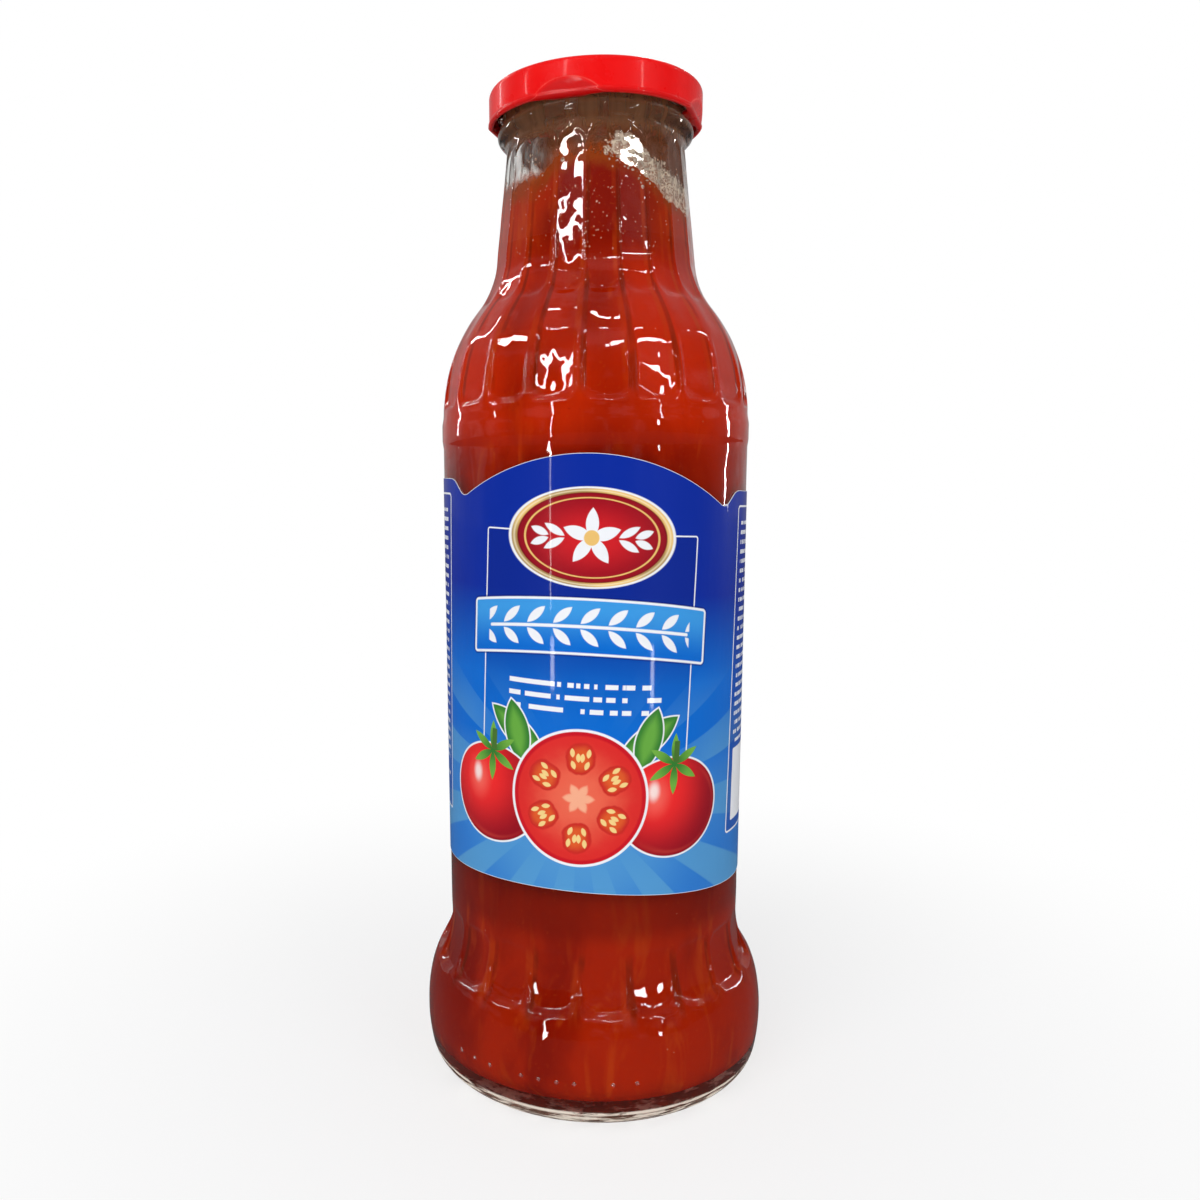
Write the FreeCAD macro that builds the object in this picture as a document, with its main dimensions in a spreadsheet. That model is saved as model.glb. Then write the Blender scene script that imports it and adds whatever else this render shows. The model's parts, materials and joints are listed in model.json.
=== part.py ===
"""Tomato juice bottle: a panelled glass bottle, its juice, a wrapped paper label and a twist-off lid.

Millimetres, +Z up. The origin is the centre of the ring that the bottle stands on, and the front of
the label faces -Y. Heights near the foot are measured up from the surface, and heights near the
mouth are measured down from the rim, so a taller bottle gets a longer straight wall and label.
"""

import FreeCAD, Part
import math
import os
from types import SimpleNamespace

import Sketcher

# How sketch constraints number the ends and the middle of an edge, and the sketch's own geometry
START = 1
END = 2
CENTRE = 3
ORIGIN = -1
GROUND_AXIS = -1
UPRIGHT_AXIS = -2

DRIVING_SIZES = {
    # Glass: the whole and its walls
    "rim_height": 240.0,
    "wall_radius": 37.6,
    "glass_wall": 2.75,
    # Glass: foot, base bulge and waist
    "push_up": 2.8,
    "foot_width": 3.5,
    "floor_height": 6.2,
    "heel_arc": 6.35,
    "inner_heel_arc": 6.0,
    "bulge_proud": 6.6,
    "bulge_height": 13.5,
    "bulge_arc": 45.0,
    "base_shoulder_arc": 24.8,
    "waist_lean": 28.0,
    "waist_arc": 19.2,
    "waist_height": 39.7,
    # Glass: raised band over the label, shoulder, flare and neck
    "band_proud": 0.25,
    "band_ramp": 1.5,
    "band_bottom_drop": 81.5,
    "band_top_drop": 76.0,
    "shoulder_drop": 74.0,
    "shoulder_inset": 0.15,
    "shoulder_arc": 40.0,
    "flare_arc": 20.2,
    "neck_lean": 6.2,
    "neck_relief": 0.7,
    "neck_top_drop": 11.4,
    "bore_drop": 11.0,
    # Glass: finish, with its bead, threads and lip
    "finish_radius": 21.9,
    "finish_wall": 2.8,
    "lip_arc": 1.2,
    "mouth_arc": 0.8,
    "bead_arc": 1.75,
    "bead_proud": 1.45,
    "bead_drop": 8.5,
    "thread_arc": 1.1,
    "thread_proud": 1.7,
    "thread_drop": 3.85,
    "thread_span": 50.0,
    "thread_lean": 2.5,
    # Glass: the rings of sunk panels
    "panel_count": 20,
    "panel_turn": 4.0,
    "panel_corner_arc": 3.0,
    "base_panel_bottom": 27.6,
    "base_panel_top": 41.4,
    "base_panel_depth": 0.25,
    "base_panel_arc": 36.5,
    "base_ridge": 0.9,
    "shoulder_panel_bottom_drop": 72.0,
    "shoulder_panel_top_drop": 54.6,
    "shoulder_panel_depth": 1.1,
    "shoulder_panel_arc": 48.4,
    "shoulder_panel_taper": 0.85,
    "shoulder_ridge": 1.1,
    "neck_panel_bottom_drop": 48.3,
    "neck_panel_top_drop": 12.7,
    "neck_panel_depth": 0.24,
    "neck_panel_spread": 0.62,
    "neck_panel_top_arc": 0.6,
    "neck_ridge": 0.2,
    # Juice
    "juice_drop": 21.5,
    "juice_gap": 0.3,
    # Label
    "label_gap": 0.05,
    "paper": 0.15,
    "label_top_gap": 2.3,
    "label_arch_arc": 47.5,
    "label_valley_across": 29.9,
    "label_valley_arc": 1.4,
    "label_corner_across": 34.2,
    "label_corner_drop": 6.6,
    "label_corner_arc": 2.0,
    "label_foot_gap": 17.0,
    "label_foot_arc": 280.0,
    "label_lean": 2.78,
    "label_shift": -2.0,
    "lap_width": 8.0,
    # Lid
    "lid_sheet": 0.3,
    "lid_height": 7.8,
    "lid_edge_arc": 1.3,
    "lid_side_gap": 1.45,
    "curl_arc": 0.65,
    "curl_inset": 0.4,
    "lid_recess": 0.9,
    "lid_recess_gap": 1.1,
    "lid_recess_ramp": 0.7,
    "seal_thickness": 0.65,
    "seal_gap": 0.05,
    "seal_width": 4.5,
    "lug_count": 4,
    "lug_turn": -15.0,
    "lug_span": 22.0,
    "lug_thickness": 1.3,
    "lug_reach": 2.2,
    "lug_edge_arc": 0.4,
    "press_span": 30.0,
    "press_depth": 0.85,
    "press_height": 3.8,
    "dent_depth": 0.7,
    "dent_height": 3.4,
}


class Size:
    """A value of the sheet, or a sum of such values, with the expression that is bound to it."""

    def __init__(self, value, text):
        self.value = float(value)
        self.text = text

    def __float__(self):
        return self.value

    def __add__(self, other):
        return Size(self.value + float(other), f"({self.text} + {written(other)})")

    def __sub__(self, other):
        return Size(self.value - float(other), f"({self.text} - {written(other)})")

    def __mul__(self, other):
        return Size(self.value * float(other), f"({self.text} * {written(other)})")

    def __truediv__(self, other):
        return Size(self.value / float(other), f"({self.text} / {written(other)})")

    def __neg__(self):
        return Size(-self.value, f"(0 - {self.text})")


def written(value):
    """A number or a Size as it stands in an expression."""
    return value.text if isinstance(value, Size) else repr(float(value))


def tangent_of(angle):
    """The tangent of an angle in degrees."""
    return Size(math.tan(math.radians(float(angle))), f"tan({written(angle)} * 1 deg)")


def sheet_of_sizes(document):
    """Write the driving sizes into the sheet and give them back as Sizes."""
    sheet = document.addObject("Spreadsheet::Sheet", "Sizes")
    for row, (name, value) in enumerate(DRIVING_SIZES.items(), start=1):
        sheet.set(f"A{row}", name)
        sheet.set(f"B{row}", str(value))
        sheet.setAlias(f"B{row}", name)
    document.recompute()
    return SimpleNamespace(**{name: Size(sheet.get(name), f"Sizes.{name}") for name in DRIVING_SIZES})


def point(across, up):
    """A point of a sketch."""
    return FreeCAD.Vector(float(across), float(up), 0)


def touching_centre(on_line, along, radius, side, centre, distance, upper):
    """The centre of an arc that touches a line and lies a given distance from another centre.

    side is +1 where the arc lies to the left of the line's direction. Of the two centres that fit,
    upper takes the one further along the line.
    """
    along = FreeCAD.Vector(along).normalize()
    left = FreeCAD.Vector(-along.y, along.x, 0)
    start = on_line + left * (side * radius)
    offset = start - centre
    middle = -offset.dot(along)
    reach = math.sqrt(distance**2 - offset.dot(offset) + middle**2)
    return start + along * (middle + (reach if upper else -reach))


def foot_of(centre, on_line, along):
    """The point of a line that is nearest to a centre."""
    along = FreeCAD.Vector(along).normalize()
    return on_line + along * (centre - on_line).dot(along)


def towards(start, end, distance):
    """The point at a distance from start on the way to end."""
    return start + (end - start).normalize() * distance


class Outline:
    """A sketch on one plane of its own body, drawn edge by edge and bound to the sheet."""

    def __init__(self, body, name, plane):
        self.sketch = body.newObject("Sketcher::SketchObject", name)
        planes = [p for p in body.Origin.OriginFeatures if p.Role == plane]
        self.sketch.AttachmentSupport = (planes[0], [""])
        self.sketch.MapMode = "FlatFace"
        self.pending = []

    def line(self, start, end):
        index = self.sketch.addGeometry(Part.LineSegment(start, end), False)
        return SimpleNamespace(index=index, start=START, end=END)

    def arc(self, start, end, centre):
        """The shorter arc from start to end round a centre."""
        first = start - centre
        last = end - centre
        leftward = first.cross(last).z > 0
        opening = math.atan2(first.y, first.x)
        closing = math.atan2(last.y, last.x)
        circle = Part.Circle(centre, FreeCAD.Vector(0, 0, 1), first.Length)
        turns = (opening, closing) if leftward else (closing, opening)
        index = self.sketch.addGeometry(Part.ArcOfCircle(circle, *turns), False)
        ends = (START, END) if leftward else (END, START)
        return SimpleNamespace(index=index, start=ends[0], end=ends[1])

    def circle(self, centre, radius):
        round_edge = Part.Circle(centre, FreeCAD.Vector(0, 0, 1), float(radius))
        index = self.sketch.addGeometry(round_edge, False)
        return SimpleNamespace(index=index)

    def tie(self, kind, *parts):
        self.pending.append((Sketcher.Constraint(kind, *parts), None))

    def bind(self, kind, *parts, size):
        self.pending.append((Sketcher.Constraint(kind, *parts, float(size)), size.text))

    def join(self, before, after):
        self.tie("Coincident", before.index, before.end, after.index, after.start)

    def blend(self, before, after):
        self.tie("Tangent", before.index, before.end, after.index, after.start)

    def radius(self, edge, size):
        self.bind("Radius", edge.index, size=size)

    def across(self, edge, place, size):
        self.bind("DistanceX", ORIGIN, START, edge.index, place, size=size)

    def up(self, edge, place, size):
        self.bind("DistanceY", ORIGIN, START, edge.index, place, size=size)

    def on_axis(self, edge, place):
        self.tie("PointOnObject", edge.index, place, UPRIGHT_AXIS)

    def on_ground(self, edge, place):
        self.tie("PointOnObject", edge.index, place, GROUND_AXIS)

    def lean(self, edge, size):
        """Hold a line that was drawn upward at an angle in from plumb."""
        degrees = Size(math.radians(float(size) + 90), f"(90 deg + {written(size)} * 1 deg)")
        self.bind("Angle", edge.index, size=degrees)

    def corners(self, corners):
        """A closed outline of straight edges, from (across, up, corner radius or None)."""
        places = [point(x, y) for x, y, _ in corners]
        entries = []
        leaves = []
        for number, (_, _, arc) in enumerate(corners):
            here = places[number]
            before = places[number - 1]
            after = places[(number + 1) % len(places)]
            half = (before - here).getAngle(after - here) / 2
            cut = float(arc) / math.tan(half) if arc else 0
            entries.append(towards(here, before, cut) if arc else here)
            leaves.append(towards(here, after, cut) if arc else here)
        count = len(places)
        lines = [self.line(leaves[n], entries[(n + 1) % count]) for n in range(count)]
        for number, (x, y, arc) in enumerate(corners):
            into = lines[number - 1]
            out = lines[number]
            if arc is None:
                self.join(into, out)
                self.place(out.index, START, x, y)
                continue
            middle = towards(places[number], (entries[number] + leaves[number]) / 2, 1)
            along = middle - places[number]
            cut = (entries[number] - places[number]).Length
            reach = math.hypot(cut, float(arc))
            bend = self.arc(entries[number], leaves[number], places[number] + along * reach)
            self.blend(into, bend)
            self.blend(bend, out)
            self.radius(bend, arc)
            corner = self.sketch.addGeometry(Part.Point(places[number]), True)
            self.tie("PointOnObject", corner, START, into.index)
            self.tie("PointOnObject", corner, START, out.index)
            self.place(corner, START, x, y)

    def place(self, index, end, x, y):
        """Hold one point at its two coordinates, where a plain 0 means the axis."""
        if isinstance(x, Size):
            self.bind("DistanceX", ORIGIN, START, index, end, size=x)
        else:
            self.tie("PointOnObject", index, end, UPRIGHT_AXIS)
        if isinstance(y, Size):
            self.bind("DistanceY", ORIGIN, START, index, end, size=y)
        else:
            self.tie("PointOnObject", index, end, GROUND_AXIS)

    def finish(self):
        """Add the constraints, bind them and make sure that they leave nothing loose."""
        self.sketch.addConstraint([constraint for constraint, _ in self.pending])
        for number, (_, text) in enumerate(self.pending):
            if text:
                self.sketch.setExpression(f"Constraints[{number}]", text)
        self.sketch.Document.recompute()
        if self.sketch.solve() != 0 or not self.sketch.FullyConstrained:
            raise RuntimeError(f"sketch {self.sketch.Label} is not fully held")
        return self.sketch


def new_body(document, name):
    body = document.addObject("PartDesign::Body", name)
    body.Label = name
    return body


def revolve(body, sketch, name, angle=None):
    """Turn a sketch about the upright axis, all the way or through an angle about its middle."""
    turned = body.newObject("PartDesign::Revolution", name)
    turned.Profile = sketch
    turned.ReferenceAxis = (sketch, ["V_Axis"])
    if angle is None:
        turned.Angle = 360
    else:
        turned.Midplane = True
        turned.setExpression("Angle", f"{angle.text} * 1 deg")
    sketch.Visibility = False
    body.Document.recompute()
    return turned


def cut_away(body, feature, name):
    """Recompute after a cutting feature and make sure that it removed something."""
    before = feature.BaseFeature.Shape.Volume
    body.Document.recompute()
    if feature.Shape.Volume >= before:
        raise RuntimeError(f"{name} cuts nothing")
    return feature


def bottle_side(outline, sizes, inset, floor, heel, neck_point, outside):
    """One side of the bottle from its floor to its neck, set into the glass by inset.

    It gives back its first edge, at the floor, and its last edge, on the neck. The outside also
    has the raised band over the label.
    """
    wall = sizes.wall_radius - inset
    bulge_centre = point(sizes.wall_radius + sizes.bulge_proud - sizes.bulge_arc, sizes.bulge_height)
    bulge_arc = sizes.bulge_arc - inset
    waist_arc = sizes.waist_arc + inset
    base_arc = sizes.base_shoulder_arc - inset
    flare_arc = sizes.flare_arc + inset
    shoulder_height = sizes.rim_height - sizes.shoulder_drop
    shoulder_start = wall - sizes.shoulder_inset if outside else wall
    shoulder_arc = sizes.shoulder_arc if outside else sizes.shoulder_arc + sizes.shoulder_inset - inset

    # Where the arcs touch one another
    waist_lean = math.radians(float(sizes.waist_lean))
    waist_along = point(-math.sin(waist_lean), math.cos(waist_lean))
    waist_centre = point(wall + waist_arc, sizes.waist_height)
    waist_low = waist_centre - point(waist_along.y, -waist_along.x) * float(waist_arc)
    base_centre = touching_centre(waist_low, waist_along, float(base_arc), 1, bulge_centre,
                                  float(bulge_arc - base_arc), False)
    waist_foot = foot_of(base_centre, waist_low, waist_along)
    bulge_top = towards(bulge_centre, base_centre, float(bulge_arc))
    heel_centre = touching_centre(point(0, floor), point(1, 0), float(heel), 1, bulge_centre,
                                  float(bulge_arc - heel), True)
    heel_top = towards(bulge_centre, heel_centre, float(bulge_arc))
    heel_foot = point(heel_centre.x, floor)
    shoulder_centre = point(shoulder_start - shoulder_arc, shoulder_height)
    neck_lean = math.radians(float(sizes.neck_lean))
    neck_along = point(-math.sin(neck_lean), math.cos(neck_lean))
    flare_centre = touching_centre(neck_point, neck_along, float(flare_arc), -1, shoulder_centre,
                                   float(shoulder_arc + flare_arc), True)
    flare_foot = towards(shoulder_centre, flare_centre, float(shoulder_arc))
    flare_top = foot_of(flare_centre, neck_point, neck_along)

    heel_edge = outline.arc(heel_foot, heel_top, heel_centre)
    bulge = outline.arc(heel_top, bulge_top, bulge_centre)
    base_shoulder = outline.arc(bulge_top, waist_foot, base_centre)
    slope = outline.line(waist_foot, waist_low)
    waist = outline.arc(waist_low, point(wall, sizes.waist_height), waist_centre)
    rising = (heel_edge, bulge, base_shoulder, slope, waist)
    for before, after in zip(rising, rising[1:]):
        outline.blend(before, after)
    outline.radius(heel_edge, heel)
    outline.radius(bulge, bulge_arc)
    outline.up(bulge, CENTRE, sizes.bulge_height)
    outline.radius(base_shoulder, base_arc)
    outline.lean(slope, sizes.waist_lean)
    outline.radius(waist, waist_arc)

    if outside:
        band = wall + sizes.band_proud
        band_bottom = sizes.rim_height - sizes.band_bottom_drop
        band_top = sizes.rim_height - sizes.band_top_drop
        stops = [
            (wall, band_bottom),
            (band, band_bottom + sizes.band_ramp),
            (band, band_top),
            (shoulder_start, shoulder_height),
        ]
    else:
        stops = [(wall, shoulder_height)]
    upright = outline.line(point(wall, sizes.waist_height), point(*stops[0]))
    outline.blend(waist, upright)
    outline.tie("Vertical", upright.index)
    outline.up(upright, upright.start, sizes.waist_height)
    outline.across(upright, upright.end, wall)
    outline.up(upright, upright.end, stops[0][1])
    outline.bind("DistanceX", bulge.index, CENTRE, upright.index, upright.end,
                 size=sizes.bulge_arc - sizes.bulge_proud - inset)
    last = upright
    for before, after in zip(stops, stops[1:]):
        step = outline.line(point(*before), point(*after))
        outline.join(last, step)
        outline.across(step, step.end, after[0])
        outline.up(step, step.end, after[1])
        last = step

    shoulder = outline.arc(point(shoulder_start, shoulder_height), flare_foot, shoulder_centre)
    flare = outline.arc(flare_foot, flare_top, flare_centre)
    neck = outline.line(flare_top, neck_point)
    outline.join(last, shoulder)
    outline.tie("Horizontal", shoulder.index, shoulder.start, shoulder.index, CENTRE)
    outline.radius(shoulder, shoulder_arc)
    outline.blend(shoulder, flare)
    outline.radius(flare, flare_arc)
    outline.blend(flare, neck)
    outline.lean(neck, sizes.neck_lean)
    return heel_edge, neck


def finish_outside(outline, sizes, neck, neck_point):
    """The bead under the lid, the upright wall of the finish and its rounded lip."""
    rim = sizes.rim_height
    radius = sizes.finish_radius
    bead_arc = float(sizes.bead_arc)
    bead_centre = point(radius + sizes.bead_proud - sizes.bead_arc, rim - sizes.bead_drop)
    neck_lean = math.radians(float(sizes.neck_lean))
    outward = point(math.cos(neck_lean), math.sin(neck_lean))
    offset = neck_point - bead_centre
    cove_arc = (bead_arc**2 - offset.dot(offset)) / (2 * (offset.dot(outward) - bead_arc))
    cove_centre = neck_point + outward * cove_arc
    cove_top = towards(bead_centre, cove_centre, bead_arc)
    bead_top = point(radius, bead_centre.y + math.sqrt(bead_arc**2 - (float(radius) - bead_centre.x) ** 2))
    lip = float(sizes.lip_arc)

    cove = outline.arc(neck_point, cove_top, cove_centre)
    bead = outline.arc(cove_top, bead_top, bead_centre)
    wall = outline.line(bead_top, point(radius, rim - sizes.lip_arc))
    lip_edge = outline.arc(point(radius, rim - sizes.lip_arc), point(float(radius) - lip, rim),
                           point(float(radius) - lip, float(rim) - lip))
    outline.blend(neck, cove)
    outline.across(neck, neck.end, radius - sizes.neck_relief)
    outline.up(neck, neck.end, rim - sizes.neck_top_drop)
    outline.blend(cove, bead)
    outline.radius(bead, sizes.bead_arc)
    outline.across(bead, CENTRE, radius + sizes.bead_proud - sizes.bead_arc)
    outline.up(bead, CENTRE, rim - sizes.bead_drop)
    outline.join(bead, wall)
    outline.tie("Vertical", wall.index)
    outline.across(wall, wall.end, radius)
    outline.blend(wall, lip_edge)
    outline.radius(lip_edge, sizes.lip_arc)
    return lip_edge


def blank_of_bottle(document, sizes):
    """The glass turned about its axis, before the panels are sunk, with the threads of the finish."""
    body = new_body(document, "bottle_blank")
    outline = Outline(body, "glass_profile", "XZ_Plane")
    rim = sizes.rim_height
    bore = sizes.finish_radius - sizes.finish_wall
    outer_neck = point(sizes.finish_radius - sizes.neck_relief, rim - sizes.neck_top_drop)
    inner_neck = point(bore, rim - sizes.bore_drop)
    outer_heel, outer_top = bottle_side(outline, sizes, Size(0, "0"), Size(0, "0"), sizes.heel_arc,
                                        outer_neck, True)
    inner_heel, inner_top = bottle_side(outline, sizes, sizes.glass_wall, sizes.floor_height,
                                        sizes.inner_heel_arc, inner_neck, False)
    lip_edge = finish_outside(outline, sizes, outer_top, outer_neck)

    # Rim, mouth and bore
    lip = float(sizes.lip_arc)
    mouth = float(sizes.mouth_arc)
    rim_out = point(float(sizes.finish_radius) - lip, rim)
    rim_in = point(float(bore) + mouth, rim)
    bore_top = point(bore, float(rim) - mouth)
    rim_flat = outline.line(rim_out, rim_in)
    mouth_edge = outline.arc(rim_in, bore_top, point(float(bore) + mouth, float(rim) - mouth))
    bore_wall = outline.line(bore_top, inner_neck)
    outline.blend(lip_edge, rim_flat)
    outline.tie("Horizontal", rim_flat.index)
    outline.up(rim_flat, rim_flat.end, rim)
    outline.blend(rim_flat, mouth_edge)
    outline.radius(mouth_edge, sizes.mouth_arc)
    outline.blend(mouth_edge, bore_wall)
    outline.tie("Vertical", bore_wall.index)
    outline.across(bore_wall, bore_wall.end, bore)
    outline.up(bore_wall, bore_wall.end, rim - sizes.bore_drop)
    outline.tie("Coincident", bore_wall.index, bore_wall.end, inner_top.index, inner_top.end)

    # Floor inside, and the standing ring and push-up below
    geometry = outline.sketch.Geometry
    inner_foot = point(geometry[inner_heel.index].Center.x, sizes.floor_height)
    outer_foot = point(geometry[outer_heel.index].Center.x, 0)
    ring_in = outer_foot - point(sizes.foot_width, 0)
    push_up = float(sizes.push_up)
    dome_centre = point(0, (push_up**2 - ring_in.x**2) / (2 * push_up))
    floor = outline.line(point(0, sizes.floor_height), inner_foot)
    core = outline.line(point(0, push_up), point(0, sizes.floor_height))
    ring = outline.line(ring_in, outer_foot)
    dome = outline.arc(point(0, push_up), ring_in, dome_centre)
    outline.join(core, floor)
    outline.on_axis(core, core.end)
    outline.on_axis(core, core.start)
    outline.up(core, core.start, sizes.push_up)
    outline.tie("Horizontal", floor.index)
    outline.up(floor, floor.start, sizes.floor_height)
    outline.blend(floor, inner_heel)
    outline.tie("Coincident", core.index, core.start, dome.index, dome.start)
    outline.on_axis(dome, CENTRE)
    outline.join(dome, ring)
    outline.on_ground(ring, ring.start)
    outline.tie("Horizontal", ring.index)
    outline.bind("DistanceX", ring.index, ring.start, ring.index, ring.end, size=sizes.foot_width)
    outline.blend(ring, outer_heel)
    revolve(body, outline.finish(), "glass_turned")
    add_threads(body, sizes)
    return body


def add_threads(body, sizes):
    """Slanted ribs round the finish, one over each lug of the lid."""
    rib = body.newObject("PartDesign::AdditiveTorus", "thread")
    centre = sizes.finish_radius + sizes.thread_proud - sizes.thread_arc
    rib.setExpression("Radius1", centre.text)
    rib.setExpression("Radius2", sizes.thread_arc.text)
    rib.setExpression("Angle3", f"{sizes.thread_span.text} * 1 deg")
    start = FreeCAD.Rotation(FreeCAD.Vector(0, 0, 1), -float(sizes.thread_span) / 2)
    slant = FreeCAD.Rotation(FreeCAD.Vector(1, 0, 0), float(sizes.thread_lean))
    turn = FreeCAD.Rotation(FreeCAD.Vector(0, 0, 1), float(sizes.lug_turn))
    rib.Placement = FreeCAD.Placement(FreeCAD.Vector(0, 0, 0), turn * slant * start)
    rib.setExpression("Placement.Base.z", (sizes.rim_height - sizes.thread_drop).text)
    body.Document.recompute()
    pattern_round(body, [rib], "threads", sizes.lug_count)


def pattern_round(body, features, name, count):
    """Repeat features evenly about the upright axis."""
    pattern = body.newObject("PartDesign::PolarPattern", name)
    pattern.Originals = features
    axes = [a for a in body.Origin.OriginFeatures if a.Role == "Z_Axis"]
    pattern.Axis = (axes[0], [""])
    pattern.Angle = 360
    pattern.setExpression("Occurrences", count.text)
    body.Tip = pattern
    body.Document.recompute()
    return pattern


def panel_cutter(document, sizes, name, corners, draw_floor):
    """A block on the +X side: an outline pushed outward, less all that lies inside the panel's floor."""
    body = new_body(document, name)
    outline = Outline(body, f"{name}_outline", "YZ_Plane")
    outline.corners(corners)
    block = body.newObject("PartDesign::Pad", f"{name}_block")
    block.Profile = outline.finish()
    reach = sizes.wall_radius + sizes.bulge_proud * 2
    block.setExpression("Length", reach.text)
    document.recompute()
    section = Outline(body, f"{name}_section", "XZ_Plane")
    draw_floor(section, sizes)
    inside = body.newObject("PartDesign::Pocket", f"{name}_inside")
    inside.Profile = section.finish()
    inside.Midplane = True
    inside.setExpression("Length", sizes.wall_radius.text)
    cut_away(body, inside, name)
    return body


def half_pitch(sizes, radius, ridge):
    """Half the width of a panel at a radius, where the panels leave a ridge between them."""
    return radius * tangent_of(Size(180, "180") / sizes.panel_count) - ridge / 2


def base_floor(section, sizes):
    """The floor of the base panels: upright at their top, then curving out to the bulge."""
    floor = sizes.wall_radius - sizes.base_panel_depth
    arc = sizes.base_panel_arc
    low = sizes.base_panel_bottom - sizes.panel_corner_arc
    high = sizes.base_panel_top + sizes.panel_corner_arc
    drop = float(sizes.base_panel_top) - float(low)
    foot = point(float(floor) + float(arc) - math.sqrt(float(arc) ** 2 - drop**2), low)
    core = section.line(point(0, low), point(0, high))
    top = section.line(point(0, high), point(floor, high))
    wall = section.line(point(floor, high), point(floor, sizes.base_panel_top))
    curve = section.arc(point(floor, sizes.base_panel_top), foot,
                        point(floor + arc, sizes.base_panel_top))
    bottom = section.line(foot, point(0, low))
    section.join(core, top)
    section.join(top, wall)
    section.blend(wall, curve)
    section.join(curve, bottom)
    section.join(bottom, core)
    section.on_axis(core, core.start)
    section.on_axis(core, core.end)
    section.up(core, core.end, high)
    section.tie("Horizontal", top.index)
    section.tie("Horizontal", bottom.index)
    section.tie("Vertical", wall.index)
    section.across(wall, wall.end, floor)
    section.up(wall, wall.end, sizes.base_panel_top)
    section.radius(curve, arc)
    section.up(curve, curve.end, low)


def shoulder_floor(section, sizes):
    """The floor of the shoulder panels: an arc that runs out into the shoulder at their top."""
    low = sizes.rim_height - sizes.shoulder_drop
    high = sizes.rim_height - sizes.shoulder_panel_top_drop + sizes.panel_corner_arc
    floor = sizes.wall_radius - sizes.shoulder_panel_depth
    arc = sizes.shoulder_panel_arc
    rise = float(high) - float(low)
    head = point(float(floor) - float(arc) + math.sqrt(float(arc) ** 2 - rise**2), high)
    core = section.line(point(0, high), point(0, low))
    bottom = section.line(point(0, low), point(floor, low))
    curve = section.arc(point(floor, low), head, point(floor - arc, low))
    top = section.line(head, point(0, high))
    section.join(core, bottom)
    section.join(bottom, curve)
    section.join(curve, top)
    section.join(top, core)
    section.on_axis(core, core.start)
    section.on_axis(core, core.end)
    section.tie("Horizontal", bottom.index)
    section.tie("Horizontal", top.index)
    section.across(bottom, bottom.end, floor)
    section.up(bottom, bottom.end, low)
    section.tie("Horizontal", curve.index, curve.start, curve.index, CENTRE)
    section.radius(curve, arc)
    section.up(top, top.start, high)


def neck_floor(section, sizes):
    """The floor of the neck panels, at one depth below the neck, its flare and the shoulder."""
    depth = sizes.neck_panel_depth
    low = sizes.rim_height - sizes.shoulder_drop
    high = sizes.rim_height - sizes.neck_top_drop
    neck_radius = sizes.finish_radius - sizes.neck_relief - depth
    shoulder_radius = sizes.wall_radius - sizes.shoulder_inset - depth
    shoulder_arc = sizes.shoulder_arc - depth
    shoulder_centre = point(shoulder_radius - shoulder_arc, low)
    flare_arc = sizes.flare_arc + depth
    neck_lean = math.radians(float(sizes.neck_lean))
    along = point(-math.sin(neck_lean), math.cos(neck_lean))
    neck_point = point(neck_radius, high)
    flare_centre = touching_centre(neck_point, along, float(flare_arc), -1, shoulder_centre,
                                   float(shoulder_arc + flare_arc), True)
    flare_foot = towards(shoulder_centre, flare_centre, float(shoulder_arc))
    flare_top = foot_of(flare_centre, neck_point, along)
    core = section.line(point(0, low), point(0, high))
    top = section.line(point(0, high), neck_point)
    neck = section.line(flare_top, neck_point)
    flare = section.arc(flare_foot, flare_top, flare_centre)
    shoulder = section.arc(point(shoulder_radius, low), flare_foot, shoulder_centre)
    bottom = section.line(point(0, low), point(shoulder_radius, low))
    section.join(core, top)
    section.tie("Coincident", top.index, top.end, neck.index, neck.end)
    section.blend(flare, neck)
    section.blend(shoulder, flare)
    section.join(bottom, shoulder)
    section.tie("Coincident", bottom.index, bottom.start, core.index, core.start)
    section.on_axis(core, core.start)
    section.on_axis(core, core.end)
    section.tie("Horizontal", top.index)
    section.tie("Horizontal", bottom.index)
    section.lean(neck, sizes.neck_lean)
    section.across(neck, neck.end, neck_radius)
    section.up(neck, neck.end, high)
    section.radius(flare, flare_arc)
    section.radius(shoulder, shoulder_arc)
    section.tie("Horizontal", shoulder.index, shoulder.start, shoulder.index, CENTRE)
    section.across(bottom, bottom.end, shoulder_radius)
    section.up(bottom, bottom.end, low)


def symmetric(low, high, half_low, half_high, arc_low, arc_high):
    """The four corners of an outline that is the same on both sides of the middle."""
    return [
        (-half_low, low, arc_low),
        (half_low, low, arc_low),
        (half_high, high, arc_high),
        (-half_high, high, arc_high),
    ]


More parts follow.
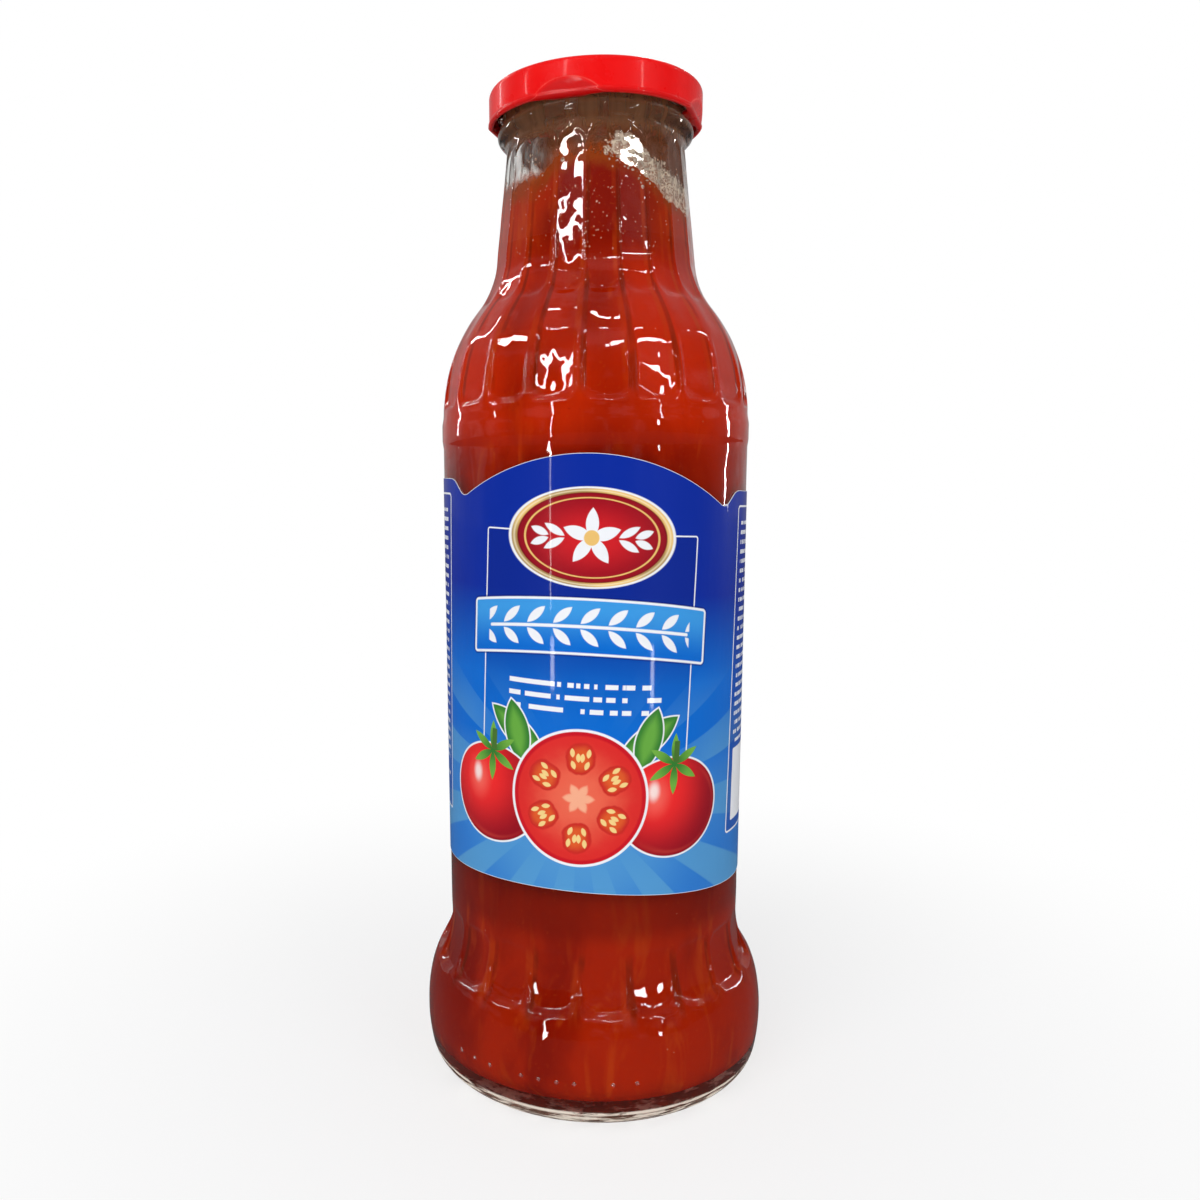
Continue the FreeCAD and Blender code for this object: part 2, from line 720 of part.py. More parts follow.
def panelled_bottle(document, sizes):
    """The blank with its three rings of sunk panels."""
    blank = blank_of_bottle(document, sizes)
    rim = sizes.rim_height
    corner = sizes.panel_corner_arc
    base_half = half_pitch(sizes, sizes.wall_radius, sizes.base_ridge)
    shoulder_half = half_pitch(sizes, sizes.wall_radius - sizes.shoulder_panel_depth,
                               sizes.shoulder_ridge)
    neck_half = half_pitch(sizes, sizes.finish_radius - sizes.neck_relief - sizes.neck_panel_depth,
                           sizes.neck_ridge)
    cutters = [
        panel_cutter(document, sizes, "base_panel",
                     symmetric(sizes.base_panel_bottom, sizes.base_panel_top, base_half, base_half,
                               corner, corner),
                     base_floor),
        panel_cutter(document, sizes, "shoulder_panel",
                     symmetric(rim - sizes.shoulder_panel_bottom_drop,
                               rim - sizes.shoulder_panel_top_drop, shoulder_half,
                               shoulder_half - sizes.shoulder_panel_taper, corner, corner),
                     shoulder_floor),
        panel_cutter(document, sizes, "neck_panel",
                     symmetric(rim - sizes.neck_panel_bottom_drop, rim - sizes.neck_panel_top_drop,
                               neck_half + sizes.neck_panel_spread, neck_half, corner,
                               sizes.neck_panel_top_arc),
                     neck_floor),
    ]
    count = round(float(sizes.panel_count))
    copies = []
    for number in range(count):
        turn = float(sizes.panel_turn) - 90 + 360 * number / count
        for cutter in cutters:
            copy = cutter.Shape.copy()
            copy.rotate(FreeCAD.Vector(0, 0, 0), FreeCAD.Vector(0, 0, 1), turn)
            copies.append(copy)
    ring = document.addObject("Part::Feature", "panel_rings")
    ring.Shape = Part.makeCompound(copies)
    bottle = document.addObject("Part::Cut", "bottle")
    bottle.Base = blank
    bottle.Tool = ring
    bottle.Label = "bottle"
    document.recompute()
    if bottle.Shape.Volume >= blank.Shape.Volume:
        raise RuntimeError("the panels cut nothing")
    return bottle


def juice_in_bottle(document, sizes):
    """The juice, which fills the cavity up to its level and stands clear of the glass by juice_gap."""
    body = new_body(document, "juice")
    outline = Outline(body, "juice_profile", "XZ_Plane")
    inset = sizes.glass_wall + sizes.juice_gap
    floor = sizes.floor_height + sizes.juice_gap
    level = sizes.rim_height - sizes.juice_drop
    bore = sizes.finish_radius - sizes.finish_wall
    neck_lean = math.radians(float(sizes.neck_lean))
    side_gap = float(sizes.juice_gap) / math.cos(neck_lean)
    fall = float(sizes.juice_drop) - float(sizes.bore_drop)
    surface_edge = point(float(bore) + fall * math.tan(neck_lean) - side_gap, level)
    heel, neck = bottle_side(outline, sizes, inset, floor, sizes.inner_heel_arc - sizes.juice_gap,
                             surface_edge, False)
    heel_foot = point(outline.sketch.Geometry[heel.index].Center.x, floor)
    bottom = outline.line(point(0, floor), heel_foot)
    core = outline.line(point(0, floor), point(0, level))
    surface = outline.line(point(0, level), surface_edge)
    outline.blend(bottom, heel)
    outline.tie("Horizontal", bottom.index)
    outline.up(bottom, bottom.start, floor)
    outline.tie("Coincident", bottom.index, bottom.start, core.index, core.start)
    outline.on_axis(core, core.start)
    outline.on_axis(core, core.end)
    outline.join(core, surface)
    outline.tie("Horizontal", surface.index)
    outline.tie("Coincident", surface.index, surface.end, neck.index, neck.end)
    outline.up(neck, neck.end, level)
    lean = f"{sizes.neck_lean.text} * 1 deg"
    drop = sizes.juice_drop - sizes.bore_drop
    edge = Size(surface_edge.x, f"({bore.text} + {drop.text} * tan({lean})"
                f" - {sizes.juice_gap.text} / cos({lean}))")
    outline.across(neck, neck.end, edge)
    revolve(body, outline.finish(), "juice_turned")
    return body


def wrapped_label(document, sizes):
    """A paper label round the straight wall, arched at its front and lapped at the back."""
    body = new_body(document, "label")
    inner = sizes.wall_radius + sizes.label_gap
    outer = inner + sizes.paper
    band_bottom = sizes.rim_height - sizes.band_bottom_drop
    apex = band_bottom - sizes.label_top_gap
    foot = sizes.waist_height + sizes.label_foot_gap

    ring = Outline(body, "label_ring", "XY_Plane")
    for radius in (inner, outer):
        edge = ring.circle(point(0, 0), radius)
        ring.tie("Coincident", edge.index, CENTRE, ORIGIN, START)
        ring.radius(edge, radius)
    sleeve = body.newObject("PartDesign::Pad", "label_sleeve")
    sleeve.Profile = ring.finish()
    sleeve.setExpression("Length", band_bottom.text)
    document.recompute()

    lap = Outline(body, "label_lap_outline", "XY_Plane")
    lapped_sector(lap, outer - sizes.paper / 2, outer + sizes.paper, sizes.lap_width)
    strip = body.newObject("PartDesign::Pad", "label_lap")
    strip.Profile = lap.finish()
    strip.setExpression("Length", band_bottom.text)
    document.recompute()

    trim_label(body, sizes, "label_front", apex, foot, front=True)
    trim_label(body, sizes, "label_back", apex, foot, front=False)
    return body


def lapped_sector(outline, inner, outer, width):
    """A short piece of a ring on the +Y side, of a width measured straight across."""
    half = float(width) / 2
    low = math.sqrt(float(inner) ** 2 - half**2)
    high = math.sqrt(float(outer) ** 2 - half**2)
    origin = point(0, 0)
    inside = outline.arc(point(-half, low), point(half, low), origin)
    outside = outline.arc(point(half, high), point(-half, high), origin)
    sides = [
        outline.line(point(half, low), point(half, high)),
        outline.line(point(-half, high), point(-half, low)),
    ]
    outline.join(inside, sides[0])
    outline.join(sides[0], outside)
    outline.join(outside, sides[1])
    outline.join(sides[1], inside)
    for edge, radius in ((inside, inner), (outside, outer)):
        outline.tie("Coincident", edge.index, CENTRE, ORIGIN, START)
        outline.radius(edge, radius)
    for side, place in zip(sides, (width / 2, -(width / 2))):
        outline.tie("Vertical", side.index)
        outline.across(side, side.end, place)


def trim_label(body, sizes, name, apex, foot, front):
    """Trim the top and the foot of the label, on its front half or on its back half."""
    middle = (apex + foot) / 2
    top = Outline(body, f"{name}_top", "XZ_Plane")
    lean_sketch(top.sketch, sizes, middle)
    above = sizes.rim_height - middle
    side = sizes.wall_radius * 2
    corner_up = apex - middle - sizes.label_corner_drop
    if front:
        arched_edge(top, sizes, apex - middle, corner_up, side, above)
    else:
        top.corners([(-side, corner_up, None), (side, corner_up, None), (side, above, None),
                     (-side, above, None)])
    trim(body, top.finish(), f"{name}_top_cut", front, sizes)

    below = Outline(body, f"{name}_foot", "XZ_Plane")
    lean_sketch(below.sketch, sizes, middle)
    foot_down = foot - middle
    arc = float(sizes.label_foot_arc)
    sag = arc - math.sqrt(arc**2 - float(sizes.wall_radius) ** 2)
    edge_down = Size(float(foot_down) - sag, f"({foot_down.text} - {sizes.label_foot_arc.text} + sqrt("
                     f"{sizes.label_foot_arc.text}^2 - {sizes.wall_radius.text}^2))")
    if front:
        bowed_foot(below, sizes, foot_down, edge_down, side)
    else:
        bottom = -(middle + sizes.wall_radius)
        below.corners([(-side, bottom, None), (side, bottom, None), (side, edge_down, None),
                       (-side, edge_down, None)])
    trim(body, below.finish(), f"{name}_foot_cut", front, sizes)


def lean_sketch(sketch, sizes, middle):
    """Lean a sketch by the label's lean, about the middle of the label's front."""
    sketch.AttachmentOffset = FreeCAD.Placement(
        FreeCAD.Vector(0, 0, 0),
        FreeCAD.Rotation(FreeCAD.Vector(0, 0, 1), -float(sizes.label_lean)),
    )
    sketch.setExpression("AttachmentOffset.Base.x", sizes.label_shift.text)
    sketch.setExpression("AttachmentOffset.Base.y", middle.text)


def trim(body, sketch, name, front, sizes):
    """Cut a sketch through one half of the label."""
    cut = body.newObject("PartDesign::Pocket", name)
    cut.Profile = sketch
    cut.Reversed = front
    cut.setExpression("Length", (sizes.wall_radius * 2).text)
    cut_away(body, cut, name)


def mirrored(place, sign):
    """A point of a sketch, or its mirror image across the upright axis where sign is -1."""
    return point(sign * place.x, place.y)


def arched_edge(outline, sizes, apex, corner_up, side, above):
    """The label's top edge: an arch with a notch at each foot, which rises to a level side."""
    arch = sizes.label_arch_arc
    valley = sizes.label_valley_across
    notch = sizes.label_valley_arc
    corner = sizes.label_corner_across
    turn = sizes.label_corner_arc
    arch_centre = point(0, apex - arch)
    # The notch touches the arch from outside, with its centre over the bottom of the notch
    reach = float(arch + notch)
    notch_centre = point(valley, arch_centre.y + math.sqrt(reach**2 - float(valley) ** 2))
    arch_end = towards(arch_centre, notch_centre, float(arch))
    # A straight rise from the notch up to the rounded corner of the side
    turn_centre = point(corner, corner_up - turn)
    gap = turn_centre - notch_centre
    swing = math.asin(float(notch + turn) / gap.Length)
    heading = math.atan2(gap.y, gap.x) + swing
    normal = point(math.sin(heading), -math.cos(heading))
    rise_low = notch_centre + normal * float(notch)
    rise_high = turn_centre - normal * float(turn)
    turn_end = point(corner, corner_up)

    arch_edge = outline.arc(mirrored(arch_end, -1), arch_end, arch_centre)
    outline.tie("PointOnObject", arch_edge.index, CENTRE, UPRIGHT_AXIS)
    outline.radius(arch_edge, arch)
    outline.bind("DistanceY", arch_edge.index, CENTRE, ORIGIN, START, size=arch - apex)
    ends = []
    for sign in (-1, 1):
        arch_foot, low, high, end, notch_middle, turn_middle = (
            mirrored(place, sign)
            for place in (arch_end, rise_low, rise_high, turn_end, notch_centre, turn_centre)
        )
        notch_edge = outline.arc(arch_foot, low, notch_middle)
        rise = outline.line(low, high)
        turn_edge = outline.arc(high, end, turn_middle)
        level = outline.line(end, point(sign * float(side), corner_up))
        edge = outline.line(point(sign * float(side), corner_up), point(sign * float(side), above))
        arch_side = arch_edge.end if sign > 0 else arch_edge.start
        outline.tie("Tangent", arch_edge.index, arch_side, notch_edge.index, notch_edge.start)
        outline.blend(notch_edge, rise)
        outline.blend(rise, turn_edge)
        outline.blend(turn_edge, level)
        outline.join(level, edge)
        outline.radius(notch_edge, notch)
        outline.radius(turn_edge, turn)
        outline.across(notch_edge, CENTRE, valley if sign > 0 else -valley)
        outline.across(turn_edge, CENTRE, corner if sign > 0 else -corner)
        outline.tie("Horizontal", level.index)
        outline.tie("Vertical", edge.index)
        outline.up(level, level.end, corner_up)
        outline.across(level, level.end, side if sign > 0 else -side)
        outline.up(edge, edge.end, above)
        ends.append(edge)
    lid = outline.line(point(-float(side), above), point(side, above))
    outline.tie("Coincident", ends[0].index, ends[0].end, lid.index, lid.start)
    outline.tie("Coincident", ends[1].index, ends[1].end, lid.index, lid.end)


def bowed_foot(outline, sizes, foot_down, edge_down, side):
    """All that lies below the label's gently bowed foot."""
    arc = sizes.label_foot_arc
    bottom = foot_down - sizes.rim_height
    half = float(side)
    sag = float(arc) - math.sqrt(float(arc) ** 2 - half**2)
    edge_up = float(foot_down) - sag
    bow = outline.arc(point(-half, edge_up), point(half, edge_up), point(0, foot_down - arc))
    right = outline.line(point(half, edge_up), point(half, bottom))
    base = outline.line(point(half, bottom), point(-half, bottom))
    left = outline.line(point(-half, bottom), point(-half, edge_up))
    outline.join(bow, right)
    outline.join(right, base)
    outline.join(base, left)
    outline.join(left, bow)
    outline.tie("PointOnObject", bow.index, CENTRE, UPRIGHT_AXIS)
    outline.radius(bow, arc)
    outline.bind("DistanceY", bow.index, CENTRE, ORIGIN, START, size=arc - foot_down)
    outline.tie("Vertical", right.index)
    outline.tie("Vertical", left.index)
    outline.across(right, right.end, side)
    outline.across(left, left.start, -side)
    outline.up(right, right.end, bottom)
    outline.up(left, left.start, bottom)


def twist_off_lid(document, sizes):
    """A pressed sheet lid with its seal, a curled hem and the lugs that grip the threads."""
    body = new_body(document, "lid")
    rim = sizes.rim_height
    seal = rim + sizes.seal_gap
    under = seal + sizes.seal_thickness
    top = under + sizes.lid_sheet
    bottom = top - sizes.lid_height
    skirt_in = sizes.finish_radius + sizes.thread_proud + sizes.lid_side_gap
    skirt_out = skirt_in + sizes.lid_sheet
    recess_out = sizes.finish_radius - sizes.finish_wall - sizes.lid_recess_gap
    seal_out = recess_out + sizes.seal_width + sizes.lid_sheet
    curl_up = bottom + sizes.curl_arc

    profile = Outline(body, "lid_profile", "XZ_Plane")
    profile.corners([
        (0, top - sizes.lid_recess, None),
        (recess_out - sizes.lid_recess_ramp, top - sizes.lid_recess, sizes.lid_sheet),
        (recess_out, top, sizes.lid_sheet),
        (skirt_out, top, sizes.lid_edge_arc),
        (skirt_out, curl_up, None),
        (skirt_in, curl_up, None),
        (skirt_in, under, sizes.lid_edge_arc - sizes.lid_sheet),
        (seal_out, under, None),
        (seal_out, seal, None),
        (recess_out + sizes.lid_sheet, seal, None),
        (recess_out, top - sizes.lid_recess - sizes.lid_sheet, None),
        (0, top - sizes.lid_recess - sizes.lid_sheet, None),
    ])
    revolve(body, profile.finish(), "lid_pressed")

    hem = Outline(body, "hem_section", "XZ_Plane")
    curl_across = skirt_out - sizes.curl_inset
    curl = hem.circle(point(curl_across, curl_up), sizes.curl_arc)
    hem.across(curl, CENTRE, curl_across)
    hem.up(curl, CENTRE, curl_up)
    hem.radius(curl, sizes.curl_arc)
    revolve(body, hem.finish(), "lid_hem")

    pressed = Outline(body, "press_section", "XZ_Plane")
    press_in = skirt_in - sizes.press_depth
    press_top = bottom + sizes.press_height
    pressed.corners([
        (press_in, curl_up, None),
        (skirt_in + sizes.lid_sheet / 2, curl_up, None),
        (skirt_in + sizes.lid_sheet / 2, press_top + sizes.press_depth, None),
        (press_in, press_top, None),
    ])
    press = revolve(body, pressed.finish(), "lid_press", sizes.press_span)

    lug_low = bottom + sizes.seal_gap * 2
    lug_section = Outline(body, "lug_section", "XZ_Plane")
    lug_out = skirt_in + sizes.lid_sheet / 2
    lug_in = skirt_in - sizes.lug_reach
    lug_section.corners([
        (lug_in, lug_low, sizes.lug_edge_arc),
        (lug_out, lug_low, None),
        (lug_out, lug_low + sizes.lug_thickness, None),
        (lug_in, lug_low + sizes.lug_thickness, sizes.lug_edge_arc),
    ])
    lug = revolve(body, lug_section.finish(), "lid_lug", sizes.lug_span)

    dent_section = Outline(body, "dent_section", "XZ_Plane")
    dent_section.corners([
        (skirt_out - sizes.dent_depth, bottom - sizes.curl_arc, None),
        (skirt_out + sizes.curl_arc * 2, bottom - sizes.curl_arc, None),
        (skirt_out + sizes.curl_arc * 2, bottom + sizes.dent_height, None),
        (skirt_out, bottom + sizes.dent_height, None),
    ])
    dent = body.newObject("PartDesign::Pocket", "lid_dent")
    dent.Profile = dent_section.finish()
    dent.Midplane = True
    dent.setExpression("Length", skirt_out.text)
    cut_away(body, dent, "the dent")
    pattern_round(body, [press, lug, dent], "lid_lugs", sizes.lug_count)
    turn = FreeCAD.Rotation(FreeCAD.Vector(0, 0, 1), float(sizes.lug_turn))
    body.Placement = FreeCAD.Placement(FreeCAD.Vector(0, 0, 0), turn)
    document.recompute()
    return body


def check_all(document, nodes):
    """Stop if any object failed, or if a node is not one valid solid."""
    for thing in document.Objects:
        if "Invalid" in thing.State or "Error" in thing.State:
            raise RuntimeError(f"{thing.Label} failed: {thing.State}")
    for node in nodes:
        shape = node.Shape
        if shape.isNull() or not shape.isValid() or len(shape.Solids) != 1:
            raise RuntimeError(f"{node.Label} is not one valid solid")


def build():
    document = FreeCAD.newDocument("tomato_juice_bottle")
    sizes = sheet_of_sizes(document)
    nodes = [
        panelled_bottle(document, sizes),
        juice_in_bottle(document, sizes),
        wrapped_label(document, sizes),
        twist_off_lid(document, sizes),
    ]
    document.recompute()
    check_all(document, nodes)
    os.makedirs("parts", exist_ok=True)
    for node in nodes:
        node.Shape.exportStep(f"parts/{node.Label}.step")
        box = node.Shape.BoundBox
        print(f"{node.Label}: {node.Shape.Volume / 1000:.2f} cm3, {len(node.Shape.Faces)} faces,"
              f" z {box.ZMin:.2f} to {box.ZMax:.2f}")


build()
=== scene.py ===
"""Tomato juice bottle: a panelled glass bottle of juice with a wrapped label and a twist-off lid.

It is laid out as an add-on: the groups of settings hold the sizes and colours, one operator makes
each piece or group of like pieces, and the panel in the sidebar lists them. Shapes are worked out
in millimetres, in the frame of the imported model, and become metres when a mesh is made. Angles
round the bottle start at the front, at -Y, and grow to the right.
"""

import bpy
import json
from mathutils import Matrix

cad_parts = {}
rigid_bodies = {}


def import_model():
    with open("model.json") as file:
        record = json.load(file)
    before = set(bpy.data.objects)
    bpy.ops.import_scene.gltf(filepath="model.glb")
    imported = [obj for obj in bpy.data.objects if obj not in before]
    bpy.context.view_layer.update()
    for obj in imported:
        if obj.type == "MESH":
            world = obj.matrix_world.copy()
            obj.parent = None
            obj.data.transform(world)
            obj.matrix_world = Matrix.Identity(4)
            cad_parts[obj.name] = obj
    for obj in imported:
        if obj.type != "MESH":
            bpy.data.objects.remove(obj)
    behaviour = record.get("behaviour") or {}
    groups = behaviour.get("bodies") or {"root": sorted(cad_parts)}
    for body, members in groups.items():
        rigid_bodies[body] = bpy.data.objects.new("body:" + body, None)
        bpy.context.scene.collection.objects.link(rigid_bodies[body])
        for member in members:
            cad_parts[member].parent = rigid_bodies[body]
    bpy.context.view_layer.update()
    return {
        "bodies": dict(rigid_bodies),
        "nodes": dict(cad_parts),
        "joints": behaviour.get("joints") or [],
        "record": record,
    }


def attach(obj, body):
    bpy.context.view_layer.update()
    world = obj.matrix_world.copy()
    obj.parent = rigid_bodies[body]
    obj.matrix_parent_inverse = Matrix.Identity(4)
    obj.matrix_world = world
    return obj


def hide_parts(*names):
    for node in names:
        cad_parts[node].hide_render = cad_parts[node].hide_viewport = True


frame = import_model()

import json
import math
from types import SimpleNamespace

import bpy
import numpy as np
from bpy.props import FloatProperty, FloatVectorProperty, IntProperty, PointerProperty
from bpy.types import Operator, Panel, PropertyGroup
from mathutils import Matrix, Vector

bl_info = {
    "name": "Tomato juice bottle",
    "version": (1, 0, 0),
    "blender": (4, 5, 0),
    "location": "View3D > Sidebar > Bottle",
    "description": "Makes a panelled bottle of tomato juice with its label and twist-off lid",
    "category": "Object",
}

MM = 0.001


def linear(red, green, blue):
    """A colour given in 0 to 255 as a screen shows it, in the linear values that shaders take."""
    shares = [value / 255 for value in (red, green, blue)]
    return tuple(s / 12.92 if s <= 0.04045 else ((s + 0.055) / 1.055) ** 2.4 for s in shares)


def length(name, size, description):
    """A length property whose default is given in millimetres."""
    return FloatProperty(name=name, description=description, default=size * MM, unit="LENGTH")


def angle(name, degrees, description):
    """An angle property whose default is given in degrees."""
    return FloatProperty(name=name, description=description, default=math.radians(degrees),
                         subtype="ANGLE")


def colour(name, shade, description):
    """A colour property whose default is given in 0 to 255."""
    return FloatVectorProperty(name=name, description=description, default=linear(*shade), size=3,
                               min=0, max=1, subtype="COLOR")


class GlassSettings(PropertyGroup):
    """The glass, turned about its axis."""

    rim_height: length("Rim height", 240, "Height of the rim over the surface")
    wall_radius: length("Wall radius", 37.6, "Radius of the straight wall")
    wall: length("Glass wall", 2.75, "Thickness of the glass")
    push_up: length("Push-up", 2.8, "Height of the hollow under the base")
    foot_width: length("Foot width", 3.5, "Width of the ring that the bottle stands on")
    floor_height: length("Floor height", 6.2, "Height of the floor inside")
    heel_arc: length("Heel arc", 6.35, "Radius of the heel outside")
    inner_heel_arc: length("Inner heel arc", 6, "Radius of the heel inside")
    bulge_proud: length("Bulge", 6.6, "How far the base stands out past the wall")
    bulge_height: length("Bulge height", 13.5, "Height of the widest place of the base")
    bulge_arc: length("Bulge arc", 45, "Radius of the side of the base")
    base_arc: length("Base shoulder arc", 24.8, "Radius of the top of the base")
    waist_lean: angle("Waist lean", 28, "Slope over the base")
    waist_arc: length("Waist arc", 19.2, "Radius of the waist")
    waist_height: length("Waist height", 39.7, "Height where the straight wall starts")
    band_proud: length("Band", 0.25, "How far the band over the label stands out")
    band_ramp: length("Band ramp", 1.5, "Height of the band's lower slope")
    band_bottom: length("Band bottom", 158.5, "Height of the foot of the band")
    band_top: length("Band top", 164, "Height of the top of the band")
    shoulder_height: length("Shoulder height", 166, "Height where the shoulder starts")
    shoulder_inset: length("Shoulder inset", 0.15, "How far the shoulder starts inside the wall")
    shoulder_arc: length("Shoulder arc", 40, "Radius of the shoulder")
    flare_arc: length("Flare arc", 20.2, "Radius of the flare under the neck")
    neck_lean: angle("Neck lean", 6.2, "Taper of the neck")
    neck_relief: length("Neck relief", 0.7, "How far the neck's top lies inside the finish")
    neck_top: length("Neck top", 228.6, "Height of the top of the neck")
    bore_foot: length("Bore foot", 229, "Height of the foot of the bore")
    finish_radius: length("Finish radius", 21.9, "Radius of the finish under the lid")
    finish_wall: length("Finish wall", 2.8, "Thickness of the finish")
    lip_arc: length("Lip arc", 1.2, "Outer edge of the rim")
    mouth_arc: length("Mouth arc", 0.8, "Inner edge of the rim")
    bead_arc: length("Bead arc", 1.75, "Section radius of the bead under the lid")
    bead_proud: length("Bead", 1.45, "How far the bead stands out")
    bead_height: length("Bead height", 231.5, "Height of the bead")
    thread_arc: length("Thread arc", 1.1, "Section radius of the threads")
    thread_proud: length("Thread", 1.7, "How far the threads stand out")
    thread_height: length("Thread height", 236.15, "Height of the threads")
    tint: colour("Glass tint", (250, 253, 251), "Colour of the glass")


class PanelSettings(PropertyGroup):
    """The three rings of sunk panels."""

    count: IntProperty(name="Panels", description="Panels in each ring", default=20, min=3)
    turn: angle("Turn", 4, "Where the first panel stands, round from the front")
    corner: length("Corner", 3, "Radius of the panels' corners")
    soft: length("Soft edge", 0.65, "Width over which an edge rounds off")
    base_low: length("Base panel bottom", 27.6, "Foot of the base panels")
    base_high: length("Base panel top", 41.4, "Top of the base panels")
    base_depth: length("Base panel depth", 0.55, "Depth at their top")
    base_arc: length("Base panel arc", 36.5, "Radius of their floor")
    base_ridge: length("Base ridge", 0.9, "Width of the ridges between them")
    shoulder_low: length("Shoulder panel bottom", 168, "Foot of the shoulder panels")
    shoulder_high: length("Shoulder panel top", 185.4, "Top of the shoulder panels")
    shoulder_depth: length("Shoulder panel depth", 1.1, "Depth at their foot")
    shoulder_arc: length("Shoulder panel arc", 48.4, "Radius of their floor")
    shoulder_taper: length("Shoulder taper", 0.85, "How much their top narrows on each side")
    shoulder_ridge: length("Shoulder ridge", 1.1, "Width of the ridges between them")
    neck_low: length("Neck panel bottom", 191.7, "Foot of the neck panels")
    neck_high: length("Neck panel top", 227.3, "Top of the neck panels")
    neck_depth: length("Neck panel depth", 0.32, "Depth of the neck panels")
    neck_spread: length("Neck spread", 0.62, "How much their foot widens on each side")
    neck_ridge: length("Neck ridge", 0.2, "Width of the ridges between them")
    neck_soft: length("Neck soft edge", 0.9, "Width over which the neck panels' edges round off")
    flute: length("Flute", 0.4, "Depth of the flutes between the shoulder and neck panels")


class JuiceSettings(PropertyGroup):
    """The juice and what it leaves on the glass over its level."""

    level: length("Level", 218.5, "Mean height of the surface")
    reach: length("Reach", 0.18, "How far the juice reaches into the wall, so that no gap shows")
    body: colour("Juice", (188, 40, 4), "Main colour of the juice")
    deep: colour("Deep juice", (152, 24, 2), "Colour of its darker clouds")
    warm: colour("Warm juice", (208, 74, 14), "Colour of its lighter streaks")
    # A lighter colour painted where the shoulder would gather light
    bright: colour("Bright juice", (224, 50, 4), "Colour where the shoulder gathers the light")
    film: colour("Film", (120, 64, 32), "Colour of the thin film over the level")
    thin: colour("Thin juice", (164, 70, 20), "Colour where the juice thins out into the film")
    foam: colour("Foam", (250, 234, 212), "Colour of the bubbles at the glass")


class LabelSettings(PropertyGroup):
    """The paper label and the colours of its print."""

    gap: length("Gap", 0.05, "Glue between the glass and the paper")
    paper: length("Paper", 0.15, "Thickness of the paper")
    apex: length("Apex", 156.2, "Height of the top of the arch")
    foot: length("Foot", 56.7, "Height of the foot at the front")
    arch_arc: length("Arch arc", 47.5, "Radius of the arch")
    notch_across: length("Notch across", 29.9, "Where the notches lie")
    notch_arc: length("Notch arc", 1.4, "Radius of the notches")
    corner_across: length("Corner across", 34.2, "Where the corners lie")
    corner_drop: length("Corner drop", 6.6, "How far the sides lie under the apex")
    corner_arc: length("Corner arc", 2, "Radius of the corners")
    foot_arc: length("Foot arc", 280, "Radius of the bowed foot")
    lean: angle("Lean", 2.78, "How far the label is stuck on askew")
    shift: length("Shift", -2, "How far it is stuck on to the right")
    lap: length("Lap", 8, "How far the ends overlap at the back")
    dark: colour("Dark blue", (2, 42, 158), "Top of the ground")
    mid: colour("Mid blue", (0, 108, 210), "Middle of the ground")
    pale: colour("Pale blue", (84, 156, 212), "Foot of the ground and its rays")
    ribbon: colour("Ribbon blue", (60, 156, 230), "The band across the front")
    red: colour("Print red", (206, 16, 20), "Medallion and fruits")
    gold: colour("Gold", (240, 196, 112), "Ring of the medallion")
    green: colour("Green", (52, 128, 40), "Leaves")
    white: colour("Paper white", (244, 246, 250), "Lines and bare paper")


class LidSettings(PropertyGroup):
    """The pressed sheet lid."""

    top: length("Top", 241, "Height of the top")
    height: length("Height", 7.8, "Height of the lid")
    skirt: length("Skirt", 25.35, "Outer radius of the skirt")
    sheet: length("Sheet", 0.3, "Thickness of the sheet")
    edge_arc: length("Edge arc", 1.3, "Radius of the top edge")
    curl_arc: length("Curl arc", 0.65, "Section radius of the hem")
    curl_inset: length("Curl inset", 0.4, "How far the hem's middle lies inside the skirt")
    recess: length("Recess", 0.9, "Depth of the panel on top")
    recess_radius: length("Recess radius", 18, "Radius of the panel on top")
    lugs: IntProperty(name="Lugs", description="Lugs and dents", default=4, min=1)
    turn: angle("Turn", -15, "Where the first dent stands, round from the front")
    dent: length("Dent", 1.5, "Depth of the dents at the hem")
    dent_height: length("Dent height", 3.7, "How far up the dents reach")
    lug_span: angle("Lug span", 22, "Width of a lug")
    lug_reach: length("Lug reach", 1.45, "How far a lug stands in from the hem")
    lacquer: colour("Lacquer", (234, 8, 10), "Outside of the lid")


GROUPS = {
    "juice_bottle_glass": GlassSettings,
    "juice_bottle_panels": PanelSettings,
    "juice_bottle_juice": JuiceSettings,
    "juice_bottle_label": LabelSettings,
    "juice_bottle_lid": LidSettings,
}


def settings(context, group):
    """A group's values: lengths in millimetres, angles in radians, colours in linear values."""
    held = getattr(context.scene, f"juice_bottle_{group}")
    values = {}
    for name, prop in held.bl_rna.properties.items():
        if name in type(held).__annotations__:
            value = getattr(held, name)
            if prop.unit == "LENGTH":
                value = value / MM
            values[name] = tuple(value) if getattr(prop, "is_array", False) else value
    return SimpleNamespace(**values)


# Plane geometry. A point of a profile is a complex number: across + up * 1j.


def dot(first, second):
    """The scalar product of two plane vectors."""
    return (first * second.conjugate()).real


def touching_centre(on_line, along, radius, side, centre, distance, upper):
    """The centre of an arc that touches a line and lies a given distance from another centre.

    side is +1 where the arc lies to the left of the line's direction. Of the two centres that fit,
    upper takes the one further along the line.
    """
    start = on_line + 1j * along * side * radius
    offset = start - centre
    middle = -dot(offset, along)
    reach = math.sqrt(distance**2 - abs(offset) ** 2 + middle**2)
    return start + along * (middle + (reach if upper else -reach))


def foot_of(centre, on_line, along):
    """The point of a line that is nearest to a centre."""
    return on_line + along * dot(centre - on_line, along)


def towards(start, end, distance):
    """The point at a distance from start on the way to end."""
    return start + (end - start) / abs(end - start) * distance


